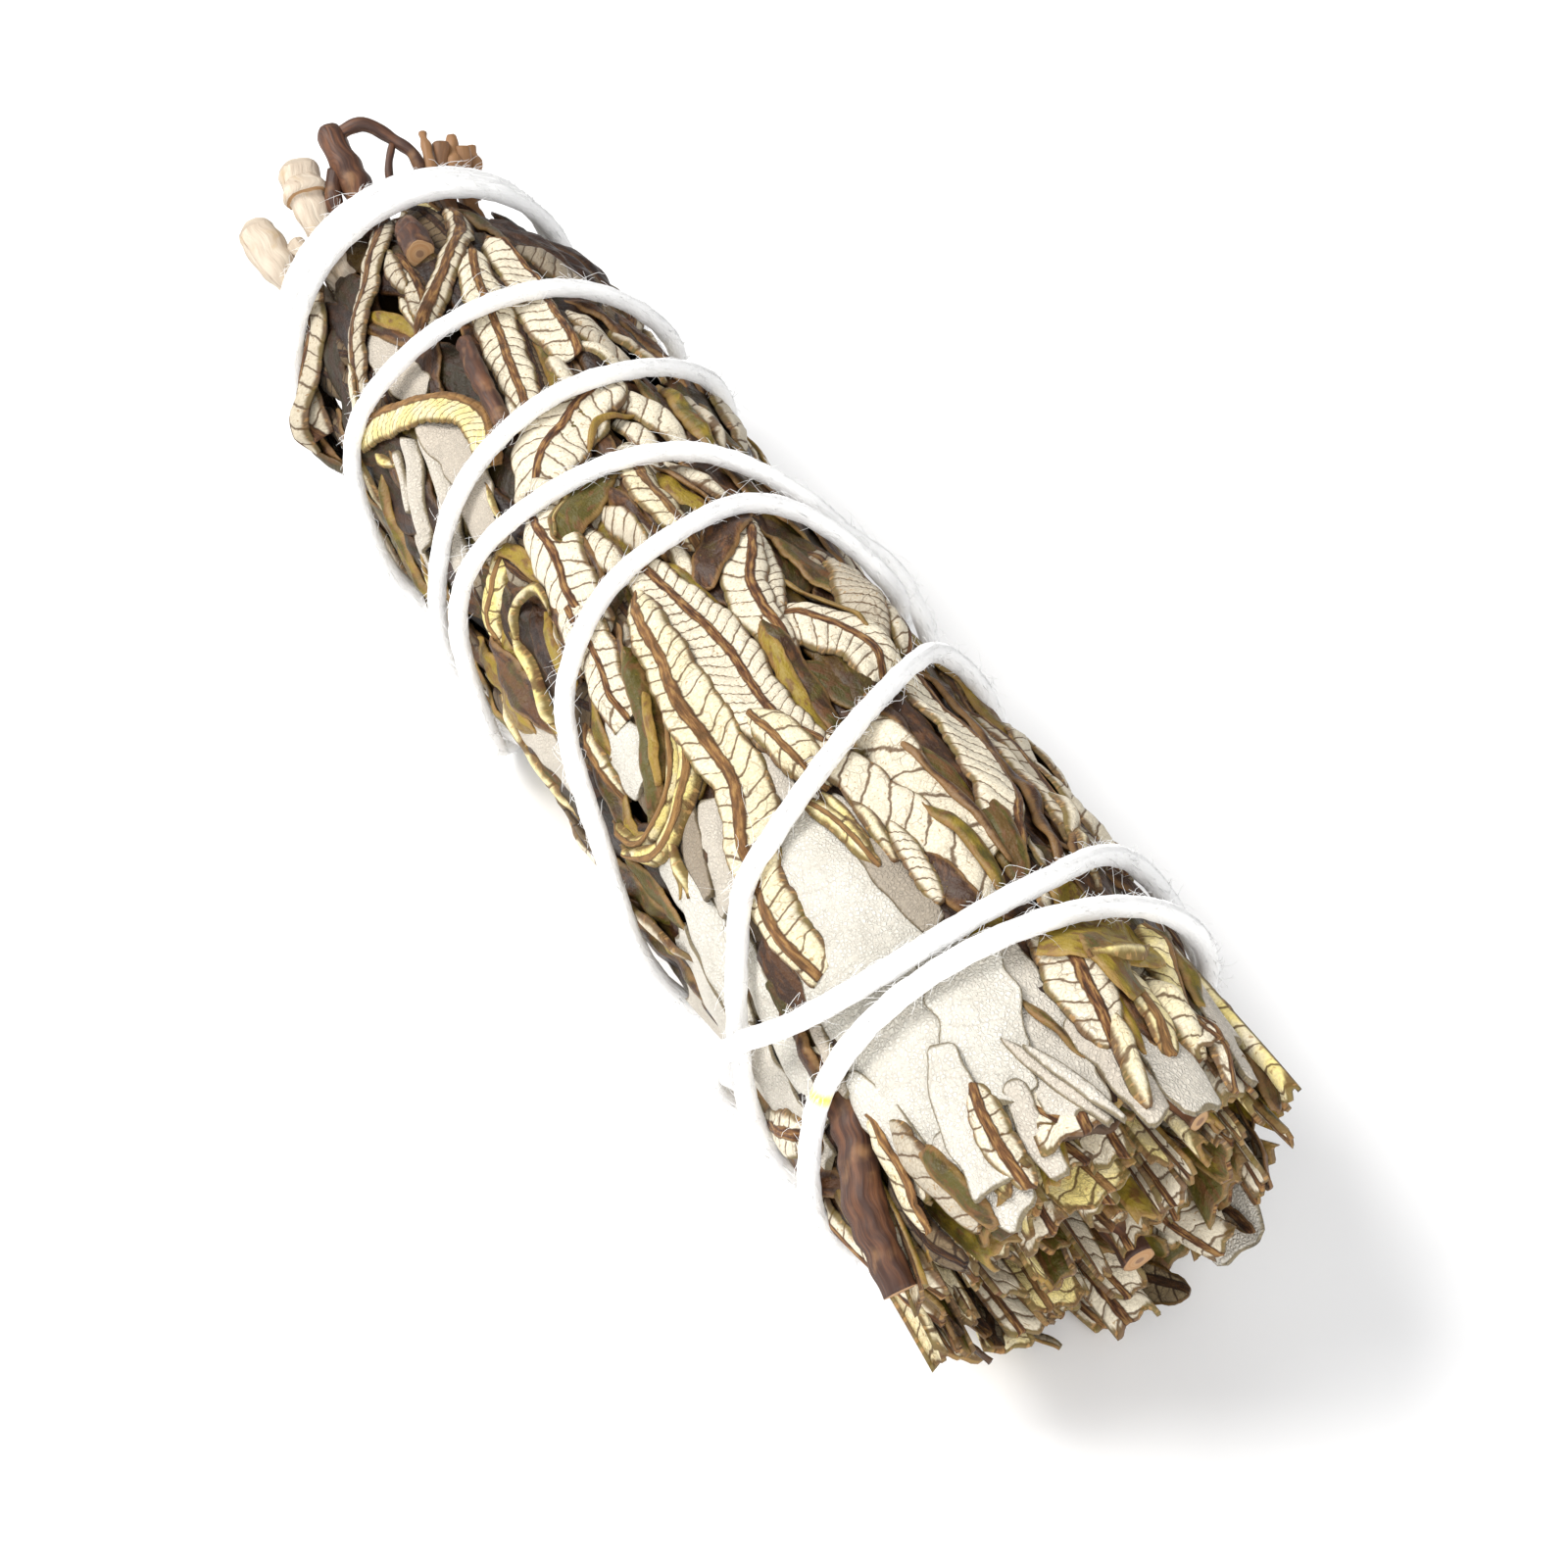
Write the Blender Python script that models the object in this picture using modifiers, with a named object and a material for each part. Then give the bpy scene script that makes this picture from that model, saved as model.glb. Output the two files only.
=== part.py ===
"""A herb smudge stick: dried yerba santa and white sage leaves round a few woody
stems, wound along its length with one white cotton string and lying on its side.

The bundle's axis runs along X: the tied butt with its stems at -X, the cut end at
+X. Places on the bundle are given as (x in mm, angle in degrees), where the angle
is 0 on top, grows towards -Y and is 180 underneath.
"""
import math
import random

import bmesh
import bpy
from mathutils import Vector

MM = 0.001

# Driving sizes, in millimetres. The profile gives the distance from the axis to the leaves'
# outer surface along the bundle
BUNDLE_PROFILE = (
    (-57, 14.2), (-50, 14.9), (-42, 16.0), (-20, 16.4),
    (10, 16.5), (45, 16.6), (57, 16.3), (66, 15.4),
)
AXIS_HEIGHT = 15.3
CENTRE_SHIFT = -0.65
STRING_DIAMETER = 1.6
STRING_BED = 0.1
GAP = 0.3

# The packed inner leaves
CORE_START = -55.5
CORE_END = 57.5
CORE_DEPTH = 1.7
CORE_STATIONS = 12
CORE_SIDES = 16
CORE_LUMPS = 0.25

# A narrow leaf: its margins and tips lie lower than its midrib, and its keel is in the core
RING_SPACING = 5.5
EDGE_DROP = 0.8
TIP_DROP = 0.6
TIP_WIDTH_SHARE = 0.4
KEEL_IN_CORE = 0.9
KEEL_UNDER_RIDGE = 1.2
RELIEF_SLOPE = 0.5

# The cut end of an inner leaf, above and below its middle
END_BLADE_RISE = 0.35
END_BLADE_KEEL = 0.65
END_BLADE_ROOT = 2.0

# A broad leaf, and the room for it in the foliage
SAGE_THICKNESS = 0.65
ROW_SPACING = 3.6
POCKET_MARGIN = 0.45
POCKET_HEIGHT = 2.2

# The room for a stem: round it and past its ends
STEM_ROOM = 0.42
STEM_OVERCUT = 0.6
STEM_STEPS = 3
TABLE_SIZE = (200, 60, 20)

FOLIAGE_TRIANGLES = 6000
SEED = 10

# The butt is wrapped in a close helix: first turn, pitch and number of turns
WRAP_START = -56.9
WRAP_PITCH = 1.75
WRAP_TURNS = 3
STRING_STEP = 12

# The string's way on from the wraps: x in mm, running angle in degrees, lift in mm where it
# crosses over an earlier turn
STRING_ROUTE = (
    (-51.4, 1170, 0), (-48, 1240, 0), (-41, 1310, 0), (-35, 1350, 0), (-31.8, 1382, 0),
    (-32.5, 1420, 0), (-32.7, 1450, 0), (-33.4, 1480, 0), (-34.4, 1505, 0), (-33.6, 1521, 0),
    (-30.6, 1538, 0), (-29.4, 1560, 0), (-29, 1620, 0), (-26.5, 1680, 0), (-22.5, 1738, 0),
    (-20.5, 1757, 0), (-18.6, 1785, 0), (-17.8, 1815, 0), (-16.4, 1850, 0), (-14.4, 1875, 0),
    (-13.2, 1895, 0), (-10, 1935, 0), (-6, 1980, 0), (-1, 2030, 0), (5, 2075, 0),
    (7.4, 2096, 0), (5, 2112, 0), (2.2, 2128, 0), (1.4, 2145, 0), (2.6, 2166, 0),
    (3.9, 2193, 0), (6.9, 2217, 0), (10.5, 2228, 0), (14.5, 2235, 0), (18.6, 2243, 0),
    (22, 2258, 0), (24, 2290, 0), (24, 2340, 0), (22.5, 2400, 0), (20.2, 2455, 0),
    (20.1, 2478, 0), (22.4, 2493, 0), (26, 2512, 0), (29.6, 2534, 0), (31.9, 2553, 0),
    (33.2, 2568, 0), (36.4, 2582, 0), (38.8, 2594, 0), (40.6, 2606, 0), (43.5, 2635, 0),
    (46, 2680, 0), (47, 2730, 0), (48.3, 2770, 0), (49.6, 2810, 0), (49.7, 2840, 0),
    (49.5, 2880, 0), (48.7, 2922, 0), (48.9, 2945, 0), (50, 2965, 0), (50.6, 3000, 0),
    (50.6, 3050, 0), (50.2, 3090, 0.2), (49.3, 3112, 1.5), (48.3, 3130, 1.9), (47, 3147, 1.6),
    (45.4, 3166, 0.3), (43.7, 3188, 0), (44.3, 3205, 0), (46.5, 3230, 0), (47.1, 3258, 0),
    (46.1, 3280, 0), (43.8, 3299, 0.2), (41.4, 3312, 1.5), (39.6, 3324, 1.9), (38.2, 3338, 1.4),
    (37, 3356, 0.1), (35.5, 3390, 0), (33, 3420, 0), (29.5, 3443, 0.2), (25.6, 3457, 1.5),
    (22.4, 3467, 1.9), (18.6, 3480, 1.3), (15, 3492, 0.4), (10, 3505, 1.4), (6, 3516, 1.9),
    (3.2, 3528, 1.5), (1.2, 3542, 0.1), (-0.8, 3556, 0), (-3.6, 3570, 0), (-6, 3585, 0),
    (-7.4, 3605, 0), (-8.6, 3630, 0), (-10.1, 3653, 0), (-10.4, 3668, 0), (-9.4, 3681, 0),
    (-7.6, 3692, 0), (-6.2, 3704, 0.1), (-7.3, 3718, 0.6), (-10, 3731, 1.7), (-12.8, 3743, 1.8),
    (-15.6, 3755, 0.6), (-18.2, 3767, 0), (-22, 3797, 0.1), (-25, 3818, 1.5), (-28, 3832, 1.9),
    (-32, 3844, 1.9), (-37, 3856, 1.9), (-41, 3866, 1.4), (-44.5, 3875, 0.2), (-47, 3884, 0),
)

# Yerba santa leaves that can be told apart: lay above (+) or below (-) the bundle's surface,
# width, then the leaf's midline, all in mm and degrees
YERBA_LEAVES = (
    (0.2, 4.4, (-55, 50), (-50, 56), (-45, 70), (-41, 86)),
    (0.3, 4.2, (-53, 20), (-45, 35), (-41, 49), (-35, 62)),
    (0.4, 2.6, (-47, 21), (-41, 22), (-36, 27)),
    (0.4, 3.2, (-51, -4), (-43, 7), (-37, 23), (-35, 32)),
    (0.2, 5.0, (-50, -6), (-42, -1), (-29, 13), (-19, 19)),
    (0.1, 5.0, (-50, -20), (-36, -11), (-27, -7), (-19, -5)),
    (-0.2, 3.4, (-50, 38), (-40, 42), (-34, 44)),
    (-0.2, 3.2, (-34, -2), (-24, 4), (-20, 5)),
    (0.0, 4.0, (-52, -30), (-44, -36), (-36, -52)),
    (0.0, 3.6, (-34, -24), (-25, -32), (-18, -38)),
    (-0.1, 3.6, (-31, -14), (-21, -20), (-13, -24)),
    (0.5, 3.0, (-34, 76), (-32, 61), (-29, 45), (-25, 36), (-20, 34), (-16, 39)),
    (0.1, 3.0, (-37, 80), (-32, 90), (-30, 106)),
    (0.3, 9.0, (-19, -6), (-14, 12), (-11, 28), (-8, 42)),
    (0.2, 3.8, (-15, 2), (-6, -8), (0, -13)),
    (0.2, 3.8, (-19, -16), (-9, -19), (-3, -22)),
    (0.0, 3.6, (-20, -34), (-9, -29), (2, -30)),
    (0.1, 3.2, (-8, 5), (-1, 5), (6, 4)),
    (0.0, 3.0, (-6, 0), (0, -12), (6, -16)),
    (0.5, 3.4, (-7, 12), (-7, 22), (-3, 32)),
    (0.0, 4.6, (-10, 38), (-2, 39), (5, 44)),
    (0.1, 4.4, (4, 42), (9, 46), (14, 51)),
    (0.2, 3.0, (-11, 52), (-8, 64), (-3, 73)),
    (0.1, 2.6, (-4, 47), (-5, 57), (-3, 68), (3, 73), (9, 70)),
    (0.3, 6.0, (3, 19), (11, 17), (18, 16), (27, 9)),
    (0.2, 4.6, (8, 11), (13, 5), (18, 5), (25, 7)),
    (0.5, 4.6, (-2, -20), (3, -7), (7, 6)),
    (0.1, 4.2, (2, -13), (9, -4), (18, -1)),
    (0.2, 3.0, (2, -22), (8, -15), (15, -6)),
    (0.1, 4.2, (9, -14), (16, -17), (23, -18)),
    (0.0, 3.6, (4, -24), (10, -28), (18, -34)),
    (0.0, 3.8, (2, -42), (14, -38), (22, -44)),
    (0.1, 3.0, (15, 6), (21, 3), (28, 4)),
    (0.0, 4.0, (-12, 88), (-3, 85), (5, 80)),
    (0.3, 3.2, (6, 31), (15, 32), (21, 34), (26, 37), (34, 46)),
    (0.2, 3.0, (13, 29), (21, 31), (27, 31), (34, 38)),
    (0.5, 2.6, (14, 35), (20, 47), (23, 58), (20, 74)),
    (0.5, 2.8, (17.5, 36), (23, 44), (25, 53), (23, 70)),
    (0.0, 2.8, (10, 34), (18, 46), (21, 60)),
    (0.3, 4.6, (27, 11), (33, 6), (38, 5), (45, 3)),
    (0.2, 3.6, (26, -2), (32, -5), (38, -8), (43, -7)),
    (0.1, 3.0, (31, 13), (37, 12), (44, 16)),
    (0.0, 3.2, (24, -11), (31, -13), (38, -10)),
    (0.2, 4.2, (21, -24), (30, -26), (37, -22), (44, -18)),
    (0.0, 3.4, (21, -40), (30, -42), (37, -34), (43, -28)),
    (0.1, 3.4, (42, -8), (46, 4), (50, 10)),
    (0.1, 4.2, (42, -46), (48, -32), (53, -26)),
    (0.0, 5.2, (49, -10), (53, -18), (59, -30)),
    (0.2, 4.0, (49, -4), (55, -1), (61, 0)),
    (0.1, 4.2, (50, -40), (57, -27), (63, -24)),
    (0.1, 4.0, (51, 56), (58, 66), (63, 74)),
    (0.0, 3.2, (45, -20), (54, -12), (62, -14)),
)
REST_LEAF = (0.3, 10.0, (-2, 180), (8, 179), (20, 180))

# Sage leaves, each a piece of its own: name, lay, width, columns across, midline
SAGE_LEAVES = (
    ("white_sage_leaf_butt", -0.3, 3.4, 3, ((-40, 52), (-36, 50), (-33.5, 52))),
    ("white_sage_leaf_roll_near", 0.0, 3.0, 3, ((-29, 66), (-24, 67), (-17, 72))),
    ("white_sage_leaf_roll_middle", 0.0, 2.6, 3, ((-26, 52), (-19, 57), (-13, 62))),
    ("white_sage_leaf_roll_wide", 0.2, 3.2, 3, ((-24, 40), (-18, 44), (-12.5, 47))),
    ("white_sage_leaf_scrap", 0.3, 4.2, 3, ((12, 56), (15, 57), (18, 58))),
    ("white_sage_leaf_edge", -0.2, 5.0, 3, ((0, 98), (7, 94), (15, 92))),
    ("white_sage_leaf_left", 0.2, 6.4, 4, ((24, 78), (32, 80), (40, 84), (47, 84))),
    ("white_sage_leaf_dark", 0.0, 3.6, 3, ((25, 45), (28, 52), (32, 59))),
    ("white_sage_leaf_short", 0.0, 3.4, 3, ((27, 22), (29, 24), (31, 26))),
    ("white_sage_leaf_broad", 0.2, 11.0, 6, ((33, 27), (40, 29), (50, 39), (59, 49))),
    ("white_sage_leaf_end", -1.0, 6.0, 4, ((50.5, 12), (55, 15), (60.5, 19))),
    ("white_sage_leaf_tip", -0.9, 4.4, 3, ((58, 43), (61, 44), (64, 45))),
    ("white_sage_leaf_layer", 0.2, 3.2, 3, ((55, -3), (59, -2), (64, -2))),
    ("white_sage_leaf_far", 0.1, 4.4, 3, ((57, -17), (60, -20), (64, -22))),
    ("white_sage_leaf_under_1", 0.2, 8.0, 4, ((-22, 128), (-14, 126), (-4, 124))),
    ("white_sage_leaf_under_2", 0.1, 7.0, 4, ((27, 118), (36, 122), (46, 120))),
    ("white_sage_leaf_back_1", 0.2, 9.0, 4, ((-20, 262), (-8, 266), (0, 262))),
    ("white_sage_leaf_back_2", 0.2, 8.5, 4, ((26, 278), (34, 272), (43, 276))),
    ("white_sage_leaf_back_3", 0.1, 7.0, 4, ((50, 232), (57, 236), (63, 232))),
    ("white_sage_leaf_back_4", 0.1, 6.5, 4, ((-46, 240), (-40, 246), (-35, 252))),
)

# Woody stems and petioles: name, (x in mm, angle, distance from the axis, radius) along each
STEMS = (
    ("woody_stem_knob",
     ((-52, 25, 10.8, 1.2), (-57, 18.5, 11.8, 1.45), (-60, 16.5, 13.5, 1.5), (-63, 15.4, 15.4, 1.35),
      (-65.2, 14.5, 16.2, 1.4))),
    ("woody_stem_stub",
     ((-53.4, 7, 11.6, 0.9), (-50.3, 11.2, 13.7, 1.2), (-47, 13, 14.9, 1.3), (-44, 14.8, 15.4, 1.35))),
    ("woody_stem_under_string", ((-31, 21, 14.0, 0.8), (-25, 24, 15.3, 0.9), (-18.8, 27, 14.3, 0.8))),
    ("woody_stem_cut_end",
     ((45, 62, 13.4, 1.1), (51, 69, 13.6, 1.3), (56, 78, 15.2, 1.4), (61, 87, 15.2, 1.2))),
    ("woody_stem_middle", ((50, 210, 5.0, 1.3), (58, 206, 5.2, 1.3), (63, 202, 5.6, 1.2))),
    ("woody_stem_low", ((50, 330, 8.6, 0.9), (58, 326, 8.8, 0.9), (62.5, 322, 9.2, 0.8))),
    ("sage_stalk_near",
     ((-52, 66, 11.2, 1.4), (-57.4, 65, 11.7, 1.5), (-60.5, 61, 13.8, 1.65), (-64, 56, 15.4, 1.75))),
    ("sage_stalk_middle",
     ((-52, 41, 11.0, 1.4), (-57.4, 40, 11.7, 1.5), (-60.5, 36, 13.6, 1.6), (-64.5, 30.5, 15.2, 1.9))),
    ("leaf_stalk_far_1", ((-52, -15, 11.4, 0.7), (-57.4, -18, 12.2, 0.75), (-61, -19.5, 15.2, 0.85))),
    ("leaf_stalk_far_2", ((-52, -27, 11.4, 0.7), (-57.4, -28, 12.2, 0.8), (-60.5, -27, 15.4, 0.8))),
)

# What grows out of the knob: the twig that arches back under the string, the sprig that
# props it up, and a short fork
KNOB_BRANCHES = (
    ((-64.6, 12, 16.2, 0.7), (-64, 4, 16.6, 0.65), (-62, -3.5, 15.4, 0.6), (-60, -8, 14.6, 0.55),
     (-57.8, -9.5, 12.6, 0.5)),
    ((-57.6, 5, 12.2, 0.35), (-59.6, 3, 13.9, 0.35), (-61.8, -2.6, 15.2, 0.35)),
    ((-57.4, 29, 12.0, 0.8), (-59.6, 27, 13.8, 0.85), (-62, 20, 14.6, 0.8)),
)

# Leaves that only fill: rows along the bundle, leaves round each row, and the angles that
# the leaves listed above already cover
FILL_ROWS = ((-53, -28), (-33, -6), (-10, 17), (13, 40), (36, 62))
FILL_ROUND = 14
COVERED_ANGLES = (-50, 98)

# Rings of leaf ends in the two end faces: distance from the axis and number of leaves
END_RINGS = ((3.2, 3), (6.4, 6), (9.4, 9), (12.3, 12))
BUTT_RINGS = ((3.0, 3), (6.2, 5), (9.4, 7))

FINISHES = {
    "yerba_leaf": ((0.62, 0.54, 0.38, 1.0), 0.62),
    "sage_leaf": ((0.70, 0.67, 0.58, 1.0), 0.9),
    "stem_wood": ((0.20, 0.10, 0.07, 1.0), 0.75),
    "cotton": ((0.93, 0.92, 0.89, 1.0), 0.95),
}


def clear_scene():
    for old in list(bpy.data.objects):
        bpy.data.objects.remove(old, do_unlink=True)


def new_collection(name):
    collection = bpy.data.collections.new(name)
    bpy.context.scene.collection.children.link(collection)
    return collection


def finish(name):
    """The Principled material of one finish, made on first use."""
    material = bpy.data.materials.get(name)
    if material is None:
        colour, roughness = FINISHES[name]
        material = bpy.data.materials.new(name)
        material.use_nodes = True
        shader = material.node_tree.nodes["Principled BSDF"]
        shader.inputs["Base Color"].default_value = colour
        shader.inputs["Roughness"].default_value = roughness
        shader.inputs["Metallic"].default_value = 0.0
    return material


def bundle_radius(x):
    """Distance from the axis to the leaves' outer surface."""
    if x <= BUNDLE_PROFILE[0][0]:
        return BUNDLE_PROFILE[0][1]
    for (x0, r0), (x1, r1) in zip(BUNDLE_PROFILE, BUNDLE_PROFILE[1:]):
        if x <= x1:
            return r0 + (r1 - r0) * (x - x0) / (x1 - x0)
    return BUNDLE_PROFILE[-1][1]


def place(x, angle, radius):
    """The point in metres at a place on the bundle."""
    turn = math.radians(angle)
    across = -radius * math.sin(turn)
    height = AXIS_HEIGHT + radius * math.cos(turn)
    return Vector((x - CENTRE_SHIFT, across, height)) * MM


def smooth_point(points, t):
    """The point on the smooth curve through the control points, t from 0 to 1."""
    span = t * (len(points) - 1)
    i = min(int(span), len(points) - 2)
    f = span - i
    a = points[max(i - 1, 0)]
    b = points[i]
    c = points[i + 1]
    d = points[min(i + 2, len(points) - 1)]
    return [
        0.5 * (2 * q + (r - p) * f + (2 * p - 5 * q + 4 * r - s) * f**2 + (3 * q - p - 3 * r + s) * f**3)
        for p, q, r, s in zip(a, b, c, d)
    ]


def string_centre():
    """The points of the string's centre line, in mm, as (x, angle, radius)."""
    first = 360 - 150
    wraps = [
        (WRAP_START + WRAP_PITCH * (angle - 360) / 360, angle, 0)
        for angle in range(first, 360 * WRAP_TURNS + 60, 60)
    ]
    route = wraps + list(STRING_ROUTE)
    line = []
    for i in range(len(route) - 1):
        steps = max(1, round((route[i + 1][1] - route[i][1]) / STRING_STEP))
        for k in range(steps):
            line.append(smooth_point(route, (i + k / steps) / (len(route) - 1)))
    line.append(route[-1])
    centre = []
    for x, angle, lift in line:
        radius = bundle_radius(x) - STRING_BED + lift
        down = math.cos(math.radians(angle))
        lowest = AXIS_HEIGHT - STRING_DIAMETER / 2
        if radius * down < -lowest:
            radius = -lowest / down
        centre.append((x, angle, radius))
    return centre


STRING_CENTRE = string_centre()


def pressed(x, angle, radius):
    """The radius that a leaf keeps where the string's turns press it in."""
    for string_x, string_angle, string_radius in STRING_CENTRE:
        turn = (angle - string_angle + 180) % 360 - 180
        apart = math.hypot(x - string_x, math.radians(turn) * string_radius)
        relief = max(0.0, apart - 2 * STRING_DIAMETER) * RELIEF_SLOPE
        radius = min(radius, string_radius - STRING_DIAMETER / 2 - GAP + relief)
    return radius


def core_radius(x, angle):
    """The packed inner leaves that the outer leaves stand out of, flattened underneath."""
    radius = bundle_radius(x) - CORE_DEPTH
    down = math.cos(math.radians(angle))
    lowest = AXIS_HEIGHT - STRING_DIAMETER - 2 * GAP
    if radius * down < -lowest:
        radius = -lowest / down
    return radius


def new_object(name, mesh, collection, material):
    thing = bpy.data.objects.new(name, mesh)
    mesh.materials.append(finish(material))
    collection.objects.link(thing)
    return thing


def mesh_from(name, points, faces):
    mesh = bpy.data.meshes.new(name)
    mesh.from_pydata(points, [], faces)
    shape = bmesh.new()
    shape.from_mesh(mesh)
    bmesh.ops.triangulate(shape, faces=shape.faces[:])
    bmesh.ops.recalc_face_normals(shape, faces=shape.faces[:])
    shape.to_mesh(mesh)
    shape.free()
    return mesh


def frame_at(midline, t):
    """Place, and direction across the leaf per mm as (x, degrees), at t on a midline."""
    x, angle = smooth_point(midline, t)
    x0, angle0 = smooth_point(midline, max(t - 0.05, 0.0))
    x1, angle1 = smooth_point(midline, min(t + 0.05, 1.0))
    per_degree = math.radians(1) * bundle_radius(x)
    along = Vector((x1 - x0, (angle1 - angle0) * per_degree)).normalized()
    return x, angle, -along.y, along.x / per_degree


def midline_length(midline):
    total = 0.0
    for (x0, angle0), (x1, angle1) in zip(midline, midline[1:]):
        total += math.hypot(x1 - x0, math.radians(angle1 - angle0) * bundle_radius(x0))
    return total


def leaf_blade(lay, width, midline, collection):
    """A narrow leaf with its midrib outwards, rooted along its length in the core."""
    rings = max(4, round(midline_length(midline) / RING_SPACING) + 1)
    points = []
    for i in range(rings):
        t = i / (rings - 1)
        x, angle, across_x, across_angle = frame_at(midline, t)
        swell = math.sin(math.pi * min(max(t, 0.12), 0.88))
        half = width / 2 * (TIP_WIDTH_SHARE + (1 - TIP_WIDTH_SHARE) * swell)
        ridge = pressed(x, angle, bundle_radius(x) + lay - TIP_DROP * abs(2 * t - 1) ** 4)
        for side, drop in ((-half, EDGE_DROP), (0, 0.0), (half, EDGE_DROP)):
            points.append(place(x + across_x * side, angle + across_angle * side, ridge - drop))
        keel = min(core_radius(x, angle) - KEEL_IN_CORE, ridge - KEEL_UNDER_RIDGE)
        points.append(place(x, angle, keel))
    faces = [(0, 1, 2, 3)]
    for i in range(rings - 1):
        a = 4 * i
        for k in range(4):
            m = (k + 1) % 4
            faces.append((a + k, a + 4 + k, a + 4 + m, a + m))
    last = 4 * (rings - 1)
    faces.append((last + 3, last + 2, last + 1, last))
    return new_object("blade", mesh_from("blade", points, faces), collection, "yerba_leaf")


def end_blade(radius, angle, width, start, reach, collection):
    """The cut end of an inner leaf, curved round the axis and standing out of the core."""
    section = ((-0.5, -END_BLADE_RISE), (0, END_BLADE_RISE), (0.5, -END_BLADE_RISE), (0, -END_BLADE_KEEL))
    points = []
    for x in (start, reach):
        for side, height in section:
            turn = math.degrees(side * width / radius)
            points.append(place(x, angle + turn, radius + height))
    faces = [(0, 1, 2, 3), (7, 6, 5, 4)]
    for k in range(4):
        m = (k + 1) % 4
        faces.append((k, k + 4, m + 4, m))
    return new_object("blade", mesh_from("blade", points, faces), collection, "yerba_leaf")


def core(collection):
    """The packed inner leaves: a long lumpy body with flat cut ends."""
    stations = CORE_STATIONS
    sides = CORE_SIDES
    points = []
    faces = []
    for i in range(stations):
        x = CORE_START + (CORE_END - CORE_START) * i / (stations - 1)
        for k in range(sides):
            angle = 360 * k / sides
            radius = core_radius(x, angle)
            if 90 < abs((angle + 180) % 360 - 180) < 150 or angle < 90:
                radius -= CORE_LUMPS * (1 + math.sin(1.9 * i + 2.3 * k))
            points.append(place(x, angle, radius))
            if i:
                here = sides * i
                m = (k + 1) % sides
                faces.append((here - sides + k, here + k, here + m, here - sides + m))
    faces.append(tuple(range(sides)))
    faces.append(tuple(range(sides * (stations - 1), sides * stations)))
    mesh = mesh_from("yerba_santa_foliage", points, faces)
    return new_object("yerba_santa_foliage", mesh, collection, "yerba_leaf")


def sheet_places(lay, width, columns, midline, grow=0.0):
    """Rows of (x, angle, radius) over a broad leaf, grown all round by a margin."""
    rows = max(4, round(midline_length(midline) / ROW_SPACING) + 1)
    places = []
    for i in range(rows):
        t = i / (rows - 1)
        x, angle, across_x, across_angle = frame_at(midline, t)
        end = 2 * t - 1
        along = end * grow * abs(end) ** 3
        per_degree = math.radians(1) * bundle_radius(x)
        half = width / 2 * (0.5 + 0.5 * math.sin(math.pi * min(max(t, 0.1), 0.9))) + grow
        row = []
        for k in range(columns):
            side = half * (2 * k / (columns - 1) - 1)
            leaf_x = x + across_x * side + across_angle * per_degree * along
            leaf_angle = angle + across_angle * side - across_x * along / per_degree
            row.append((leaf_x, leaf_angle, pressed(leaf_x, leaf_angle, bundle_radius(leaf_x) + lay)))
        places.append(row)
    return places


def grid_faces(rows, columns, first=0):
    faces = []
    for i in range(1, rows):
        for k in range(1, columns):
            here = first + columns * i + k
            faces.append((here - 1, here - columns - 1, here - columns, here))
    return faces


def leaf_sheet(name, lay, width, columns, midline, collection):
    """A broad leaf lying on the bundle: an open sheet given its thickness inwards."""
    places = sheet_places(lay, width, columns, midline)
    points = [place(*spot) for row in places for spot in row]
    mesh = mesh_from(name, points, grid_faces(len(places), columns))
    outwards = mesh.polygons[0].normal.dot(mesh.polygons[0].center - Vector((0, 0, AXIS_HEIGHT * MM)))
    if outwards < 0:
        mesh.flip_normals()
    sheet = new_object(name, mesh, collection, "sage_leaf")
    solidify = sheet.modifiers.new("Thickness", "SOLIDIFY")
    solidify.thickness = SAGE_THICKNESS * MM
    solidify.offset = -1
    return sheet


def leaf_pocket(lay, width, columns, midline, collection):
    """The room that a broad leaf takes in the foliage, open outwards."""
    places = sheet_places(lay, width, columns, midline, grow=POCKET_MARGIN)
    rows = len(places)
    count = rows * columns
    points = []
    for shift in (POCKET_HEIGHT, -SAGE_THICKNESS - POCKET_MARGIN):
        points += [place(x, angle, radius + shift) for row in places for x, angle, radius in row]
    faces = grid_faces(rows, columns)
    faces += [tuple(reversed(face)) for face in grid_faces(rows, columns, count)]
    rim = list(range(columns))
    rim += [columns * i + columns - 1 for i in range(1, rows)]
    rim += [columns * (rows - 1) + k for k in range(columns - 2, -1, -1)]
    rim += [columns * i for i in range(rows - 2, 0, -1)]
    for a, b in zip(rim, rim[1:] + rim[:1]):
        faces.append((a, b, b + count, a + count))
    return new_object("pocket", mesh_from("pocket", points, faces), collection, "sage_leaf")


def tube(name, line, collection, material, grow=0.0, sides=1):
    """A round stem or string along (x, angle, distance from the axis, radius)."""
    curve = bpy.data.curves.new(name, "CURVE")
    curve.dimensions = "3D"
    curve.bevel_depth = MM
    curve.bevel_resolution = sides
    curve.use_fill_caps = True
    spline = curve.splines.new("POLY")
    spline.points.add(len(line) - 1)
    for point, (x, angle, distance, radius) in zip(spline.points, line):
        point.co = (*place(x, angle, distance), 1.0)
        point.radius = radius + grow
    return new_object(name, curve, collection, material)


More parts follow.
